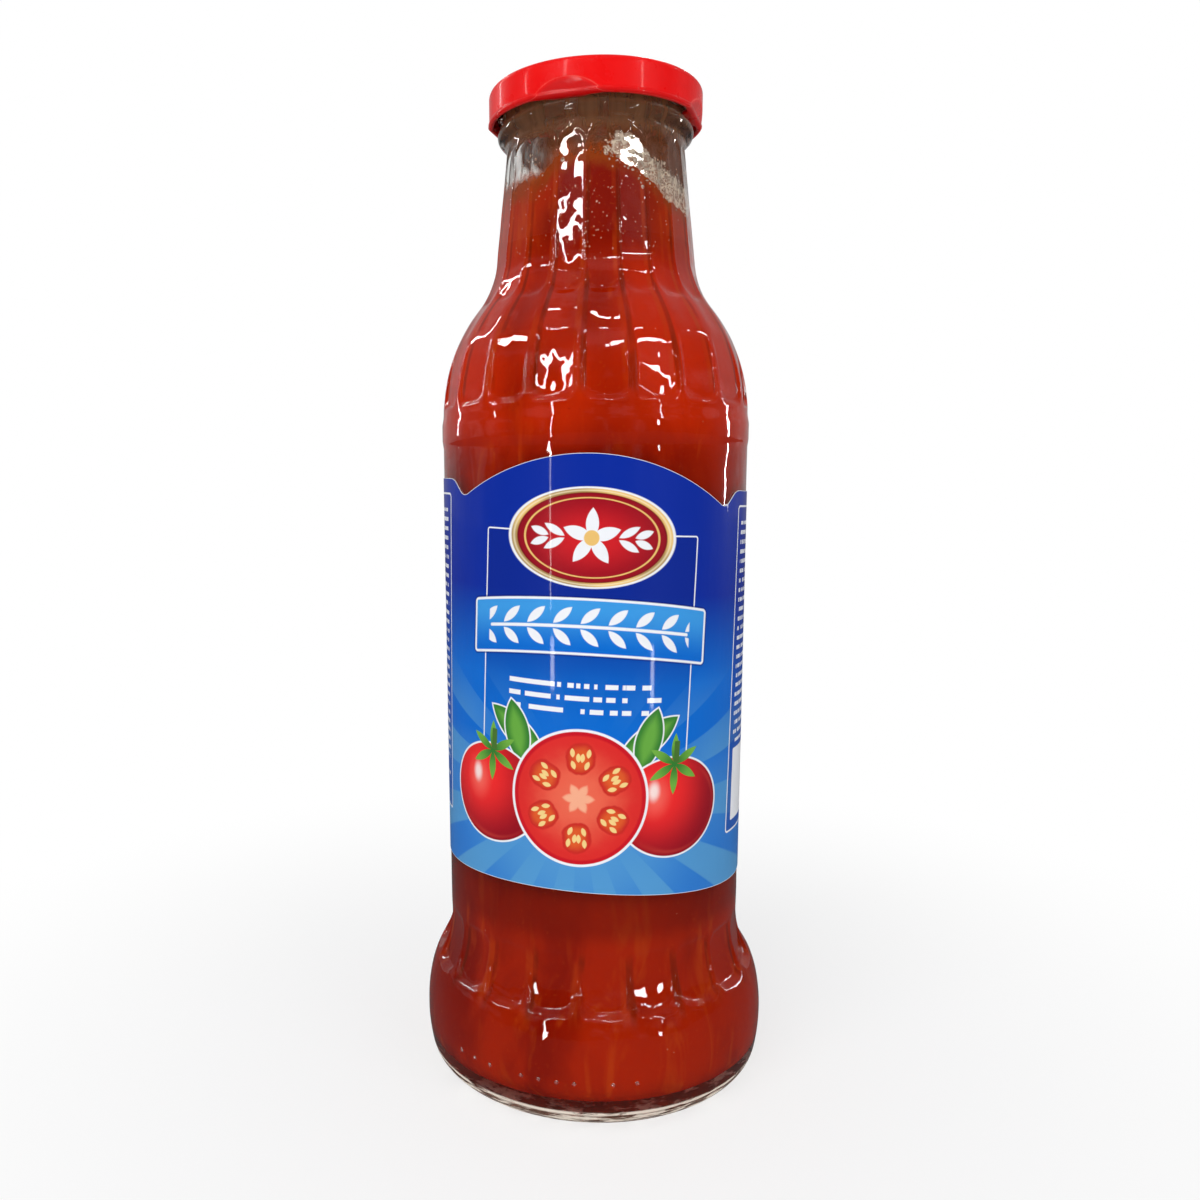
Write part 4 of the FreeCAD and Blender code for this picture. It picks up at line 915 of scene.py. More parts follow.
def paper_finish(colours):
    """The printed paper: a blue ground with rays, a medallion, a band, fruit and fine print."""
    finish = Finish("printed_paper")
    ink = Print(finish)
    across, up = ink.across, ink.up
    white, gold, mid = colours.white, colours.gold, colours.mid

    # Ground and its rays
    ink.shade = finish.node("ValToRGB", {"stops": [
        (0.0, colours.pale), (0.3, mid), (0.5, mid), (0.78, colours.dark), (1.0, colours.dark)]},
        {"Fac": up.step(-52.0, 50.0)})["Color"]
    distance, turn = ink.round_from(0.0, -26.0)
    rays = (turn * 16.0).math("SINE").step(-0.1, 0.1)
    fade = distance.step(14.0, 40.0) * up.step(4.0, -20.0)
    ink.paint(rays * fade * 0.75, colours.pale)
    ink.paint((1 - rays) * fade * up.step(-20.0, -44.0) * 0.7, mid)

    # Thin frame, then the bowed band and the sprig on it
    frame = ink.box(0.0, 5.0, 25.5, 27.5, 0.6)
    ink.paint(frame.step(0.12, -0.12) * up.step(-16.0, 20.0) * 0.6, dimmed(colours.dark, 0.75))
    ink.fill(abs(frame) - 0.16, white, 0.07)
    sag = up - (1 - across * across * (1 / 900.0)) * 2.4
    bowed = finish.joined(across, sag)
    band = ink.box(0.0, 9.5, 29.5, 6.6, 1.2, bowed)
    ink.fill(band - 0.2, dimmed(colours.dark, 0.5), share=0.6)
    ink.fill(band + 0.2, white)
    ink.fill(band + 0.75, sag.step(4.0, 14.0).mix(mid, colours.ribbon))
    repeat = finish.joined(across.math("WRAP", 3.1, -3.1), abs(sag - 9.5))
    leaves = ink.leaf(0.6, 2.45, 0.72, 2.75, 1.0, repeat)
    sprig = leaves.math("MINIMUM", ink.box(0.0, 9.5, 24.0, 0.35, 0.3, bowed))
    ink.paint(sprig.step(0.12, -0.12) * abs(across).step(24.6, 24.2), white)

    # Medallion with a flower and two twigs
    medallion = ink.disc(0.0, 31.5, 10.2, (1.75, 1.0))
    sheen = (across * 0.22 + up * 0.3).math("SINE").step(-0.8, 0.9)
    enamel = medallion.step(-9.0, 0.0).mix(linear(214, 30, 26), dimmed(colours.red, 0.5))
    ink.fill(medallion - 0.9, white)
    ink.fill(medallion - 0.5, sheen.mix(dimmed(gold, 0.5), gold))
    ink.fill(abs(medallion - 0.1) - 0.12, linear(255, 244, 206), 0.2, 0.7)
    ink.fill(medallion + 0.35, dimmed(colours.red, 0.35))
    ink.fill(medallion + 0.6, enamel)
    ink.fill(abs(medallion + 1.5) - 0.14, gold, 0.07)
    distance, turn = ink.round_from(0.0, 31.5)
    ink.fill(distance - (1 - abs(ink.folded(turn, 5)) * 1.12) * 6.6, white, 0.16)
    ink.fill(distance - 1.7, gold)
    aside = finish.joined(abs(across), abs(up - 31.5))
    for place, rise, turn_by, long in ((8.3, 1.5, 0.5, 2.6), (11.7, 1.1, 0.36, 2.2)):
        ink.fill(ink.leaf(place, rise, turn_by, long, 0.85, aside), white)

    # Fine print under the band, and fruit over leaves
    ink.paint(ink.words(2.9, 1.1, 3.0, 0.26, ink.box(0.0, -4.35, 18.0, 4.35, 0.2)), white)
    for side in (-1, 1):
        for turn_by, long in ((2.05, 11.0), (1.35, 9.5)):
            leaf = ink.leaf(side * 15.5, -14.5 + long * 0.1, math.pi / 2 - side * (turn_by - 1.1),
                            long * 0.8, 3.1)
            ink.fill(leaf - 0.35, white)
            ink.fill(leaf, leaf.step(0, -2.4).mix(colours.green, linear(104, 172, 60)))
        tomato(ink, side * 22.4, -29.5, 12.4, colours)
    tomato_slice(ink, 0.0, -27.5, 15.6, colours)

    # Side panels: framed fine print, ruled lines, and a plain white block
    sideways = finish.joined(abs(across), up)
    panel = ink.box(58.5, 0.0, 16.0, 39.5, 1.0, sideways)
    ink.fill(panel, colours.dark, share=0.55)
    ink.fill(abs(panel) - 0.22, white, 0.08)
    small = ink.words(2.3, 0.95, 11.0, 0.5, ink.box(58.5, 2.0, 13.6, 34.0, 0.2, sideways))
    clear = (-ink.box(58.5, -28.0, 15.0, 10.4, 0.5)).step(0.12, -0.12)
    ink.paint(small * clear * 0.92, white)
    ruled = ink.box(96.0, 0.0, 14.0, 36.0, 0.6, sideways)
    rule = abs((up / 6.0).math("FRACT") - 0.5) * 6.0 - 0.12
    ink.paint(ruled.step(0.12, -0.12) * rule.step(0.07, -0.07), white)
    ink.fill(abs(ruled) - 0.2, white, 0.08)
    ink.fill(ink.box(58.5, -28.0, 13.4, 9.0, 0.5), white)

    # Bare paper at the cut edges and faint printing grain
    ink.paint(ink.edge.step(0.16, 0.05), white)
    grain = ink.flat.noise(7.0, 3.0, 0.6)
    wrinkle = (ink.flat * (1.0, 0.35, 1.0)).noise(0.12, 3.0, 0.5)
    return finish.surface(finish.principled(
        Base_Color=((grain - 0.5) * 0.12 + 0.06).mix(ink.shade, dimmed(colours.dark, 0.45)),
        Roughness=grain * 0.14 + 0.34, Specular_IOR_Level=0.08, Coat_Weight=0.25,
        Coat_Roughness=0.05, Normal=finish.bump(wrinkle + grain * 0.02, 0.22, 0.8 * MM)))


def lacquer_finish(c):
    """Red lacquer: orange peel, rubbed places, painted shade on the hem and in the dents, and a
    painted highlight along the dents' upper edge.
    """
    finish = Finish("red_lacquer")
    place = finish.place()
    across, away, up = place.split()
    pressed = c.skirt - finish.joined(across, away).size() * 1000
    side = (up * 1000).step(c.top - c.edge_arc - 0.4, c.top - c.edge_arc - 1.0)
    hem_top, hem_full = 0.2350, 0.2334
    # Painted shade on the hem, which curls under
    hem = up.step(hem_top, hem_full)
    peel = place.noise(900.0, 2.0, 0.5)
    rub = place.noise(130.0, 4.0, 0.6)
    # Painted highlight along the upper edge of the dents, where they are pressed in
    ridge = abs(pressed - 0.07).step(0.06, 0.01) * side
    tone = c.lacquer
    # Painted shade on the hem and in the dents and a painted highlight at the dents' edge; the
    # rubbed tones are the lacquer's own
    for share, shade in (
            (hem * 0.5 + rub.step(0.5, 0.8) * 0.12, dimmed(c.lacquer, 0.55)),
            (rub.step(0.42, 0.3) * 0.14, linear(252, 48, 40)),
            (pressed.step(0.06, 0.5) * side * 0.34, dimmed(c.lacquer, 0.4)),
            (ridge * (rub.step(0.36, 0.6) * 0.3 + 0.1), linear(255, 120, 108))):
        tone = share.mix(tone, shade)
    return finish.surface(finish.principled(
        Base_Color=tone, Roughness=rub.step(0.3, 0.75) * 0.14 + 0.24, Specular_IOR_Level=0.12,
        Coat_Weight=0.2, Coat_Roughness=0.08, Normal=finish.bump(peel + rub * 0.6, 0.16, 0.3 * MM)))


# Pieces


def rounded(corners):
    """Start and spans of a line through corners. Each one between its ends has its own radius."""
    spans = []
    for (before, _), (here, radius), (after, _) in zip(corners, corners[1:], corners[2:]):
        back = (before - here) / abs(before - here)
        onward = (after - here) / abs(after - here)
        half = abs(np.angle(onward / back)) / 2
        reach = radius / math.tan(half)
        middle = (back + onward) / abs(back + onward)
        spans.append((here + back * reach, None))
        spans.append((here + onward * reach, here + middle * radius / math.sin(half)))
    return corners[0][0], spans + [(corners[-1][0], None)]


def full_turn(count):
    """Even angles all the way round."""
    return 2 * math.pi * np.arange(count) / count


class JUICE_BOTTLE_OT_glass(Operator):
    """Make the glass bottle with its panels, and the dots round its heel"""

    bl_idname = "juice_bottle.glass"
    bl_label = "Glass bottle"

    def execute(self, context):
        g = settings(context, "glass")
        p = settings(context, "panels")
        # Bottles rub one another at the bulge and under the shoulder
        finish = glass_finish(g, [((g.bulge_height + 4) * MM, 6 * MM),
                                  ((p.shoulder_low - 4) * MM, 4 * MM)])
        piece = self.bottle(g, p).piece("glass_bottle", "glass", finish, sharp=100)
        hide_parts("bottle")
        dots = Skin()
        dot_pitch, dot_size = math.radians(5.7), (0.3, 0.5, 0.5)
        for place in (-8.1, -7.0, -5.9, -3.9, -2.9, -1.9, -0.95, 1.1, 2.4):
            turn = place * dot_pitch
            centre = on_ring(g.wall_radius + g.bulge_proud - 0.02, turn, g.bulge_height - 0.8)
            dots.blob(centre, turn, dot_size, rows=8, columns=12)
        dots.piece("heel_dots", "glass", finish)
        return {"FINISHED"}

    def bottle(self, g, p):
        """The whole wall: outside from base to rim, then inside down to the floor."""
        outline, ring_in = outside_of_glass(g)

        def outer_spacing(places):
            up, out = places.imag, places.real
            return np.select(
                [(up < 6) & (out < ring_in - 1), up < 4, up < p.base_low - 3, up < p.base_high + 3,
                 up < g.waist_height + 17, up < g.band_bottom - 3, up < g.shoulder_height,
                 up < g.shoulder_height + 36, up < p.neck_high - 2],
                [2.2, 0.5, 1.0, 0.62, 1.2, 4.0, 0.9, 0.62, 1.3], 0.5)

        # Columns gather at the panels' edges where there are panels, and are even elsewhere
        outer = spaced(outline, outer_spacing)
        panel_columns = panel_turns(p)
        even = panel_columns[0] + full_turn(len(panel_columns))
        heights = outer.imag[:, None]
        share = smooth_step(p.base_low - 9, p.base_low - 3, heights) * smooth_step(
            p.neck_high + 2, p.neck_high - 2, heights)
        turns = even + (panel_columns - even) * share
        radius = panelled(g, p, outer, turns)

        # Slow waves, but not under the label, and the flutes between two rings of panels
        free = (smooth_step(4, 12, heights) * smooth_step(p.neck_high + 1, p.neck_high - 3, heights)
                * (1 - smooth_step(p.base_high + 8, p.base_high + 14, heights)
                   * smooth_step(g.band_top, g.band_bottom - 4, heights)))
        wave_depth, bore_wave_depth = 0.06, 0.14
        radius = radius + free * wave_depth * ripple(turns, heights, 5)
        flute = smooth_step(p.shoulder_high - 3, p.shoulder_high + 1, heights) * smooth_step(
            p.neck_low + 4, p.neck_low, heights)
        radius = radius - p.flute * flute * np.cos(p.count * (turns - p.turn) / 2) ** 2

        # Threads that climb a little and run out, and the knurled ring that the bottle stands on
        threads, first_thread, thread_lean = 4, math.radians(-15), math.radians(2.5)
        thread_end, thread_full = 25, 21
        from_thread = from_nearest(turns, first_thread, threads)
        climb = g.finish_radius * from_thread * math.tan(thread_lean)
        over = heights - g.thread_height - climb
        crest = np.sqrt(np.clip(g.thread_arc**2 - over**2, 0, None))
        thread = g.finish_radius + g.thread_proud - g.thread_arc + crest
        on_thread = smooth_step(thread_end, thread_full, np.degrees(np.abs(from_thread)))
        threaded = np.maximum(radius, radius + (thread - radius) * on_thread)
        radius = np.where(crest > 0, threaded, radius)
        standing = ((heights < 0.02) & (radius > ring_in + 0.3)).astype(float)
        knurls, knurl_depth = 96, 0.2
        lift = standing * knurl_depth * (0.5 - 0.5 * np.cos(knurls * turns))

        skin = Skin()
        skin.ring([0, 0, outer[0].imag])
        coarse = slice(None, None, 5)
        for row in range(1, len(outer)):
            points = on_ring(radius[row], turns[row], heights[row] + lift[row])
            hidden = g.waist_height + 20 < outer[row].imag < g.band_bottom - 5
            skin.ring(points[coarse] if hidden else points)

        # Rim, bore and the inside, which is coarse where the juice hides it
        bore = bore_of(g)
        rim_in = bore + g.mouth_arc + 1j * g.rim_height
        mouth = [(rim_in, None),
                 (bore + 1j * (g.rim_height - g.mouth_arc), rim_in - 1j * g.mouth_arc),
                 (bore + 1j * g.bore_foot, None)]
        inside = traced(*inside_of_glass(g, 0))[::-1]
        level = settings(bpy.context, "juice").level
        inner = spaced(np.concatenate([traced(outer[-1], mouth), inside[1:]]),
                       lambda places: np.where(places.imag > level - 3, 1.0, 5.0))
        for place in inner[1:]:
            seen = place.imag > level - 6
            columns = even if seen else even[coarse]
            share = smooth_step(g.bore_foot, g.bore_foot - 4, place.imag) if seen else 0.0
            out = place.real + bore_wave_depth * share * ripple(columns, place.imag, 9)
            skin.ring(on_ring(out, columns, place.imag))
        skin.ring([0, 0, g.floor_height])
        return skin


class JUICE_BOTTLE_OT_juice(Operator):
    """Make the juice, the film and foam that it leaves over its level, and the air in it"""

    bl_idname = "juice_bottle.juice"
    bl_label = "Juice"

    def execute(self, context):
        g = settings(context, "glass")
        j = settings(context, "juice")
        p = settings(context, "panels")
        turns = full_turn(240)
        piece = self.body(g, j, turns).piece("tomato_juice", "juice", juice_finish(j, p))
        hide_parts("juice")
        self.film(g, j, turns).piece("clinging_film", "juice", film_finish(j, p))
        self.foam(g, j).piece("foam_bubbles", "juice",
                              bubble_finish("juice_foam", j.foam, linear(150, 86, 50)))
        self.specks(g, j).piece("air_specks", "juice",
                                bubble_finish("air_in_juice", linear(250, 206, 180), j.warm))
        return {"FINISHED"}

    def body(self, g, j, turns):
        """The juice, up to a level that is a little lower at the glass and on the right."""
        drop, tilt, unevenness = 2.4, 0.6, 0.6
        level = j.level - drop - tilt * np.sin(turns) + unevenness * ripple(turns, 0.0, 3)
        close = traced(*inside_of_glass(g, j.reach))
        side = spaced(close[close.imag < j.level - 5],
                      lambda places: np.where(places.imag > 160, 1.0, 2.0))
        skin = Skin()
        skin.ring([0, 0, side[0].imag])
        for place in side:
            skin.ring(on_ring(place.real, turns, place.imag))
        for share in np.linspace(0.15, 1, 9):
            heights = side[-1].imag + (level - side[-1].imag) * share
            skin.ring(on_ring(cavity_radius(g, heights, j.reach), turns, heights))
        edge = cavity_radius(g, level, j.reach)
        sink = 0.7
        for share in (0.985, 0.96, 0.92, 0.85, 0.7, 0.5, 0.3, 0.12):
            heights = (level * share + j.level * (1 - share) - sink * (1 - share) ** 0.3
                       + 0.15 * ripple(turns * 3, share * 20, 4))
            skin.ring(on_ring(edge * share, turns, heights))
        skin.ring([0, 0, j.level - sink])
        return skin

    def film(self, g, j, turns):
        """A closed shell that starts in the juice and reaches into the glass."""
        skin = Skin()
        reach, unevenness = 0.24, 0.06
        rows = np.linspace(j.level - 13, g.rim_height - 2.0, 50)
        thick = reach + unevenness * ripple(turns[None, :] * 2, rows[:, None], 8)
        outer = cavity_radius(g, rows)[:, None] + reach + 0 * turns
        for radius, height in zip(outer, rows):
            skin.ring(on_ring(radius, turns, height))
        for radius, height in zip((outer - thick)[::-1], rows[::-1]):
            skin.ring(on_ring(radius, turns, height))
        skin.bridge(skin.last, (0, len(turns)))
        return skin

    def foam(self, g, j):
        """Bubbles that cling to the glass at the level, most of them on the right."""
        draw = np.random.default_rng(21)
        count, spread, off_wall, thick = 300, 1.6, 0.16, 0.22
        skin = Skin()
        for _ in range(count):
            ahead = draw.random() < 0.8
            turn = draw.uniform(0.1, 1.25) if ahead else draw.uniform(-2.6, 2.6)
            fall = 0.55 * max(cavity_radius(g, j.level) * math.sin(turn) - 3.5, 0) if ahead else 1.0
            height = j.level + 4.2 - fall + draw.normal(0, spread)
            size = draw.uniform(0.12, 0.34) if draw.random() < 0.8 else draw.uniform(0.34, 0.6)
            out = float(cavity_radius(g, height)) + off_wall
            sizes = (thick, size, size * draw.uniform(0.7, 1.1))
            skin.blob(on_ring(out, turn, height), turn, sizes)
        return skin

    def specks(self, g, j):
        """Specks of air against the glass, most of them high up at the front."""
        draw = np.random.default_rng(8)
        count = 380
        skin = Skin()
        for _ in range(count):
            high = draw.random() < 0.7
            height = (j.level - 2 - abs(draw.normal(0, 9)) if high else
                      draw.uniform(12, j.level - 10))
            turn = math.radians(draw.normal(5, 32)) if high else draw.uniform(-math.pi, math.pi)
            size = draw.uniform(0.07, 0.2) if high else draw.uniform(0.08, 0.17)
            out = float(cavity_radius(g, height, j.reach))
            skin.blob(on_ring(out, turn, height), turn, (size * 0.6, size, size * 1.2),
                      rows=4, columns=6)
        return skin


class JUICE_BOTTLE_OT_label(Operator):
    """Make the wrapped paper label with its print"""

    bl_idname = "juice_bottle.label"
    bl_label = "Label"

    def execute(self, context):
        c = settings(context, "label")
        radius = settings(context, "glass").wall_radius + c.gap + c.paper
        skin, print_places = self.sleeve(c, radius)
        piece = skin.piece("wrap_label", "label_paper", paper_finish(c), sharp=50)
        places = piece.data.attributes.new("print_place", "FLOAT_VECTOR", "POINT")
        places.data.foreach_set("vector", np.concatenate(print_places).astype(np.float32).ravel())
        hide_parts("label")
        return {"FINISHED"}

    def top_edge(self, c, middle):
        """Close points of the right half of the top edge, from the apex out to the level side."""
        apex = c.apex - middle
        level = apex - c.corner_drop
        arch_centre = 1j * (apex - c.arch_arc)
        reach = c.arch_arc + c.notch_arc
        notch_centre = c.notch_across + 1j * (
            arch_centre.imag + math.sqrt(reach**2 - c.notch_across**2))
        turn_centre = c.corner_across + 1j * (level - c.corner_arc)
        gap = turn_centre - notch_centre
        heading = np.angle(gap) + math.asin((c.notch_arc + c.corner_arc) / abs(gap))
        normal = np.exp(1j * (heading - math.pi / 2))
        return traced(1j * apex, [
            (towards(arch_centre, notch_centre, c.arch_arc), arch_centre),
            (notch_centre + normal * c.notch_arc, notch_centre),
            (turn_centre - normal * c.corner_arc, None),
            (turn_centre + 1j * c.corner_arc, turn_centre),
            (c.corner_across + 10 + 1j * level, None),
        ])

    def sleeve(self, c, radius):
        """The paper, column by column from end to end, and the place of each point in the print."""
        middle = (c.apex + c.foot) / 2
        half = math.pi * radius + c.lap / 2
        # Columns are closest where the notches and the corners lie
        near, far = 24, 40
        fine = np.concatenate([np.arange(0, near, 0.8), np.arange(near, far, 0.22),
                               np.arange(far, half, 1.0), [half]])
        across = np.concatenate([-fine[:0:-1], fine])
        turns = across / radius
        ahead = np.abs(turns) < math.pi / 2
        outline = self.top_edge(c, middle)
        chord = np.where(ahead, np.abs(radius * np.sin(turns)), radius)
        top = np.interp(chord, outline.real, outline.imag)
        back_sag = c.foot_arc - math.sqrt(c.foot_arc**2 - radius**2)
        sag = c.foot_arc - np.sqrt(c.foot_arc**2 - (radius * np.sin(turns)) ** 2)
        foot = c.foot - middle - np.where(ahead, sag, back_sag)
        inset = np.array([0, 0.08, 0.2, 0.5])
        shares = np.linspace(0, 1, 60)[1:-1]
        lap_ramp, lap_gap, wave_depth, pull_in = 1.6, 0.01, 0.018, 0.012
        lap = smooth_step(half - c.lap - lap_ramp, half - c.lap, across) * (c.paper + lap_gap)
        skin = Skin()
        prints = []
        for turn, place, low, high, lift in zip(turns, across, foot, top, lap):
            plain = low + inset[-1] + shares * (high - low - 2 * inset[-1])
            rows = np.concatenate([low + inset, plain, high - inset[::-1]])
            # Slow waves in the paper, pulled in so that their crests keep to its radius
            outer = radius + lift - pull_in + wave_depth * ripple(turn, rows * 0.8, 12)
            columns = []
            for out, up in ((outer[::-1], rows[::-1]), (outer - c.paper, rows)):
                height = middle + up * math.cos(c.lean) - out * math.sin(turn) * math.sin(c.lean)
                shifted = turn + (c.shift + up * math.sin(c.lean)) / radius
                columns.append(on_ring(out, shifted, height))
                edge = np.minimum(np.minimum(up - low, high - up), half - abs(place))
                prints.append(np.stack([np.full(up.shape, place), up, edge], axis=-1))
            skin.ring(np.concatenate(columns))
        first, count = skin.last
        skin.faces.insert(0, list(range(count))[::-1])
        skin.faces.append(list(range(first, first + count)))
        return skin, prints


class JUICE_BOTTLE_OT_lid(Operator):
    """Make the twist-off lid with its dents, hem, lugs and seal"""

    bl_idname = "juice_bottle.lid"
    bl_label = "Lid"

    def execute(self, context):
        c = settings(context, "lid")
        piece = self.pressing(c, settings(context, "glass").rim_height).piece(
            "twist_lid", "lid_lacquer", lacquer_finish(c))
        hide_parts("lid")
        return {"FINISHED"}

    def pressing(self, c, rim_height):
        """The sheet from the middle of the top, down the skirt, round the hem and back inside."""
        bottom = c.top - c.height
        hem = c.skirt - c.curl_inset + 1j * (bottom + c.curl_arc)
        inner = c.skirt - c.sheet
        side_rise = math.sqrt(c.curl_arc**2 - c.curl_inset**2)
        inner_rise = math.sqrt(c.curl_arc**2 - (inner - hem.real) ** 2)
        low = c.top - c.recess
        recess_ramp, seal_gap, seal_width = 0.7, 0.05, 4.8
        start, outside = rounded([
            (1j * low, 0), (c.recess_radius - recess_ramp + 1j * low, 0.5),
            (c.recess_radius + 1j * c.top, 0.45), (c.skirt + 1j * c.top, c.edge_arc),
            (c.skirt + 1j * (hem.imag + side_rise), 0)])
        curl = [(hem + c.curl_arc * np.exp(1j * math.radians(a)), hem) for a in (-50, -165)]
        curl.append((inner + 1j * (hem.imag + inner_rise), hem))
        under = c.top - c.sheet
        seal = rim_height + seal_gap
        seal_out = c.recess_radius + seal_width
        turn_in, inside = rounded([
            (curl[-1][0], 0), (inner + 1j * under, c.edge_arc - c.sheet),
            (seal_out + 1j * under, 0.1), (seal_out + 1j * seal, 0.2),
            (c.recess_radius + c.sheet + 1j * seal, 0.1),
            (c.recess_radius + 1j * (low - c.sheet), 0.2), (1j * (low - c.sheet), 0)])

        def spacing(places):
            return np.select([places.imag < bottom + 1.8, places.imag < bottom + 5,
                              places.real > c.recess_radius - 2], [0.16, 0.35, 0.3], 2.2)

        outer = spaced(traced(start, outside + curl), spacing)
        inner_side = spaced(traced(turn_in, inside), lambda places: spacing(places) * 2)[1:]
        turns = full_turn(288)
        local = from_nearest(turns, c.turn, c.lugs)
        lug_ramp, dent_edge, dent_curve = 0.03, 0.025, 0.85
        lug = smooth_step(c.lug_span / 2 + lug_ramp, c.lug_span / 2 - lug_ramp, np.abs(local))
        skin = Skin()
        skin.ring([0, 0, outer[0].imag])
        for place in [*outer[1:], *inner_side[:-1]]:
            # A flat face presses the skirt in, deepest at the hem, with a soft edge all round
            share = np.clip((place.imag - bottom) / c.dent_height, 0, 1)
            face = c.skirt - c.dent * (1 - share) ** dent_curve
            press = c.skirt - face / np.cos(local)
            press = (press + np.sqrt(press**2 + dent_edge**2)) / 2 * smooth_step(
                bottom + c.dent_height + 1, bottom + c.dent_height - 0.5, place.imag)
            press = press * smooth_step(c.skirt - 3, c.skirt - 1, place.real)
            pull = (c.lug_reach * lug * smooth_step(0.1, c.curl_arc, hem.real - place.real)
                    * smooth_step(bottom + 2, bottom + 1.3, place.imag))
            radius = place.real - press - pull * (place.real > c.skirt - 3)
            skin.ring(on_ring(radius, turns, place.imag))
        skin.ring([0, 0, inner_side[-1].imag])
        return skin


class JUICE_BOTTLE_OT_stage(Operator):
    """Make the pale floor, the world, the lamps and the camera"""

    bl_idname = "juice_bottle.stage"
    bl_label = "Stage"

    def execute(self, context):
        scene = context.scene
        scene.view_settings.view_transform = "Standard"
        self.floor()
        self.world(scene)
        self.lamp("soft_key", (-34, 36), 2.2, (1.5, 1.5), power=24.0, glossy=False)
        self.lamp("soft_fill", (50, 20), 1.9, (1.2, 1.2), power=9.0, glossy=False)
        # Small bright lamps for the glints only: turn from the front, rise, and their two sizes
        glints = ((-31, 21, 0.016, 1.1), (-38, 51, 0.016, 0.04), (-77, 37, 0.04, 0.05),
                  (-77, 20, 0.02, 0.16), (11, 39, 0.03, 0.03), (10, 53, 0.02, 0.03),
                  (53, 37, 0.045, 0.035), (57, 49, 0.025, 0.04), (49, 18, 0.014, 0.3),
                  (19, 69, 0.05, 0.03), (-53, 69, 0.05, 0.03), (100, 36, 0.03, 0.04),
                  (114, 6, 0.03, 0.26), (46, 4, 0.035, 0.05), (-29, -14, 0.02, 0.03),
                  (42, -15, 0.02, 0.035), (-5, 31, 0.012, 0.1), (-120, 22, 0.02, 0.7),
                  (-150, 40, 0.04, 0.05), (160, 38, 0.04, 0.05), (175, 20, 0.016, 0.6),
                  (47.5, 31.5, 0.05, 0.02))
        strength, away, away_low = 90.0, 1.0, 0.45
        for number, (turn, rise, wide, tall) in enumerate(glints):
            # The low ones stay over the floor because they stand closer
            self.lamp(f"glint_{number}", (turn, rise), away_low if rise < 0 else away,
                      (wide, tall), power=strength * wide * tall, glossy=True)
        self.camera(scene)
        return {"FINISHED"}

    def floor(self):
        """A floor that fades to a pale shadow near the bottle and is white further out."""
        mesh = bpy.data.meshes.new("floor")
        reach, under = 4.0, -0.0002
        mesh.from_pydata([(x * reach, y * reach, under) for x, y in (
            (-1, -1), (1, -1), (1, 1), (-1, 1))], [], [(0, 1, 2, 3)])
        floor = bpy.data.objects.new("floor", mesh)
        bpy.context.scene.collection.objects.link(floor)
        finish = Finish("floor")
        fade = finish.place().size().step(0.05, 0.26)
        rays = finish.node("LightPath")
        looked_at = rays["Is Camera Ray"].larger(rays["Is Transmission Ray"])
        paper = finish.node("BsdfDiffuse", {}, {"Color": (0.9, 0.9, 0.9)})["BSDF"]
        light = finish.node("Emission", {}, {
            "Color": (1, 1, 1), "Strength": looked_at + rays["Is Glossy Ray"] * 0.1})["Emission"]
        share = (looked_at * (fade * 0.32 + 0.68)).larger(rays["Is Glossy Ray"])
        mesh.materials.append(finish.surface(share.blend(paper, light)))

    def world(self, scene):
        """White where it is looked at, through glass too, and a dimmer room, brighter behind."""
        scene.world = bpy.data.worlds.new("studio")
        finish = Finish("studio", scene.world)
        rays = finish.node("LightPath")
        way = finish.node("TexCoord")["Generated"]
        _, behind, high = way.split()
        room = (behind.step(-0.2, 1.0) * 0.34 + high.step(0.3, 0.9) * 0.1
                + way.noise(2.3, 3.0, 0.6).step(0.5, 0.66) * 0.26 + 0.03)
        first = rays["Diffuse Depth"].math("LESS_THAN", 0.5)
        white = rays["Is Camera Ray"].larger(rays["Is Transmission Ray"] * first)
        strength = (white + (1 - white) * rays["Is Glossy Ray"] * room
                    + (1 - white) * (1 - rays["Is Glossy Ray"]) * 0.5)
        light = finish.node("Background", {}, {"Color": (1, 1, 1), "Strength": strength})
        finish.node("OutputWorld", {}, {"Surface": light["Background"]})

    def lamp(self, name, direction, distance, size, power, glossy):
        """A lamp for colour, which gloss does not show, or one for glints and nothing else."""
        turn, rise = (math.radians(angle) for angle in direction)
        aim = Vector((0, 0, 0.15))  # near the top of the label
        place = aim + distance * Vector((
            math.sin(turn) * math.cos(rise), -math.cos(turn) * math.cos(rise), math.sin(rise)))
        data = bpy.data.lights.new(name, "AREA")
        data.shape = "RECTANGLE"
        data.size, data.size_y = size
        data.energy = power
        lamp = bpy.data.objects.new(name, data)
        lamp.location = place
        lamp.rotation_euler = (aim - place).to_track_quat("-Z", "Y").to_euler()
        lamp.visible_glossy = glossy
        lamp.visible_diffuse = not glossy
        lamp.visible_transmission = False
        lamp.visible_camera = False
        bpy.context.scene.collection.objects.link(lamp)

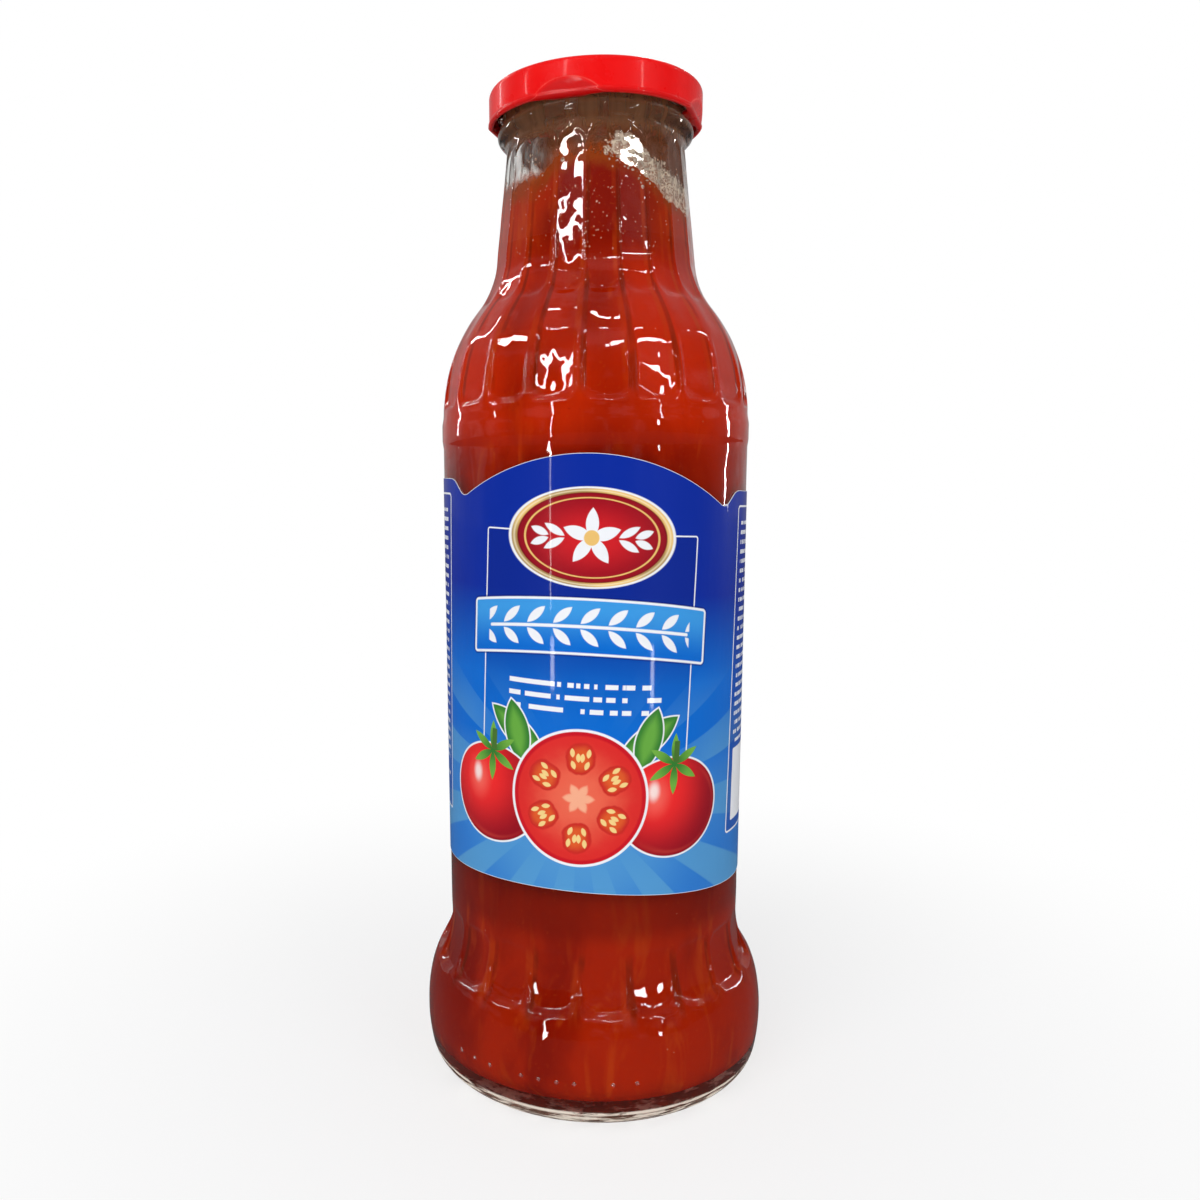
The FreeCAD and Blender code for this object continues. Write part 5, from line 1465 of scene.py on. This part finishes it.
    def camera(self, scene):
        """A camera at the height of the label's top that looks down a little and to the left."""
        data = bpy.data.cameras.new("camera")
        data.lens = 31.17
        data.sensor_width = 36
        data.shift_x, data.shift_y = 0.0583, 0.0417
        data.clip_start, data.clip_end = 0.01, 20
        pitch, yaw, roll = -0.1544, -0.0618, -0.0064
        forward = Vector((math.sin(yaw) * math.cos(pitch), math.cos(yaw) * math.cos(pitch),
                          math.sin(pitch)))
        level = Vector((math.cos(yaw), -math.sin(yaw), 0))
        upright = level.cross(forward)
        right = level * math.cos(roll) + upright * math.sin(roll)
        up = upright * math.cos(roll) - level * math.sin(roll)
        camera = bpy.data.objects.new("camera", data)
        camera.matrix_world = Matrix.Translation((0, -0.2657, 0.1487)) @ Matrix(
            (right, up, -forward)).transposed().to_4x4()
        scene.collection.objects.link(camera)
        scene.camera = camera


class JUICE_BOTTLE_PT_sidebar(Panel):
    """Lists what makes the bottle"""

    bl_idname = "JUICE_BOTTLE_PT_sidebar"
    bl_label = "Tomato juice bottle"
    bl_space_type = "VIEW_3D"
    bl_region_type = "UI"
    bl_category = "Bottle"

    def draw(self, context):
        for operator in OPERATORS:
            self.layout.operator(operator.bl_idname)


OPERATORS = (JUICE_BOTTLE_OT_glass, JUICE_BOTTLE_OT_juice, JUICE_BOTTLE_OT_label,
             JUICE_BOTTLE_OT_lid, JUICE_BOTTLE_OT_stage)
CLASSES = (*GROUPS.values(), *OPERATORS, JUICE_BOTTLE_PT_sidebar)


def register():
    for made in CLASSES:
        bpy.utils.register_class(made)
    for name, group in GROUPS.items():
        setattr(bpy.types.Scene, name, PointerProperty(type=group))


def unregister():
    for name in GROUPS:
        delattr(bpy.types.Scene, name)
    for made in reversed(CLASSES):
        bpy.utils.unregister_class(made)


def main():
    register()
    bpy.ops.juice_bottle.glass()
    bpy.ops.juice_bottle.juice()
    bpy.ops.juice_bottle.label()
    bpy.ops.juice_bottle.lid()
    bpy.ops.juice_bottle.stage()


if __name__ == "__main__":
    main()
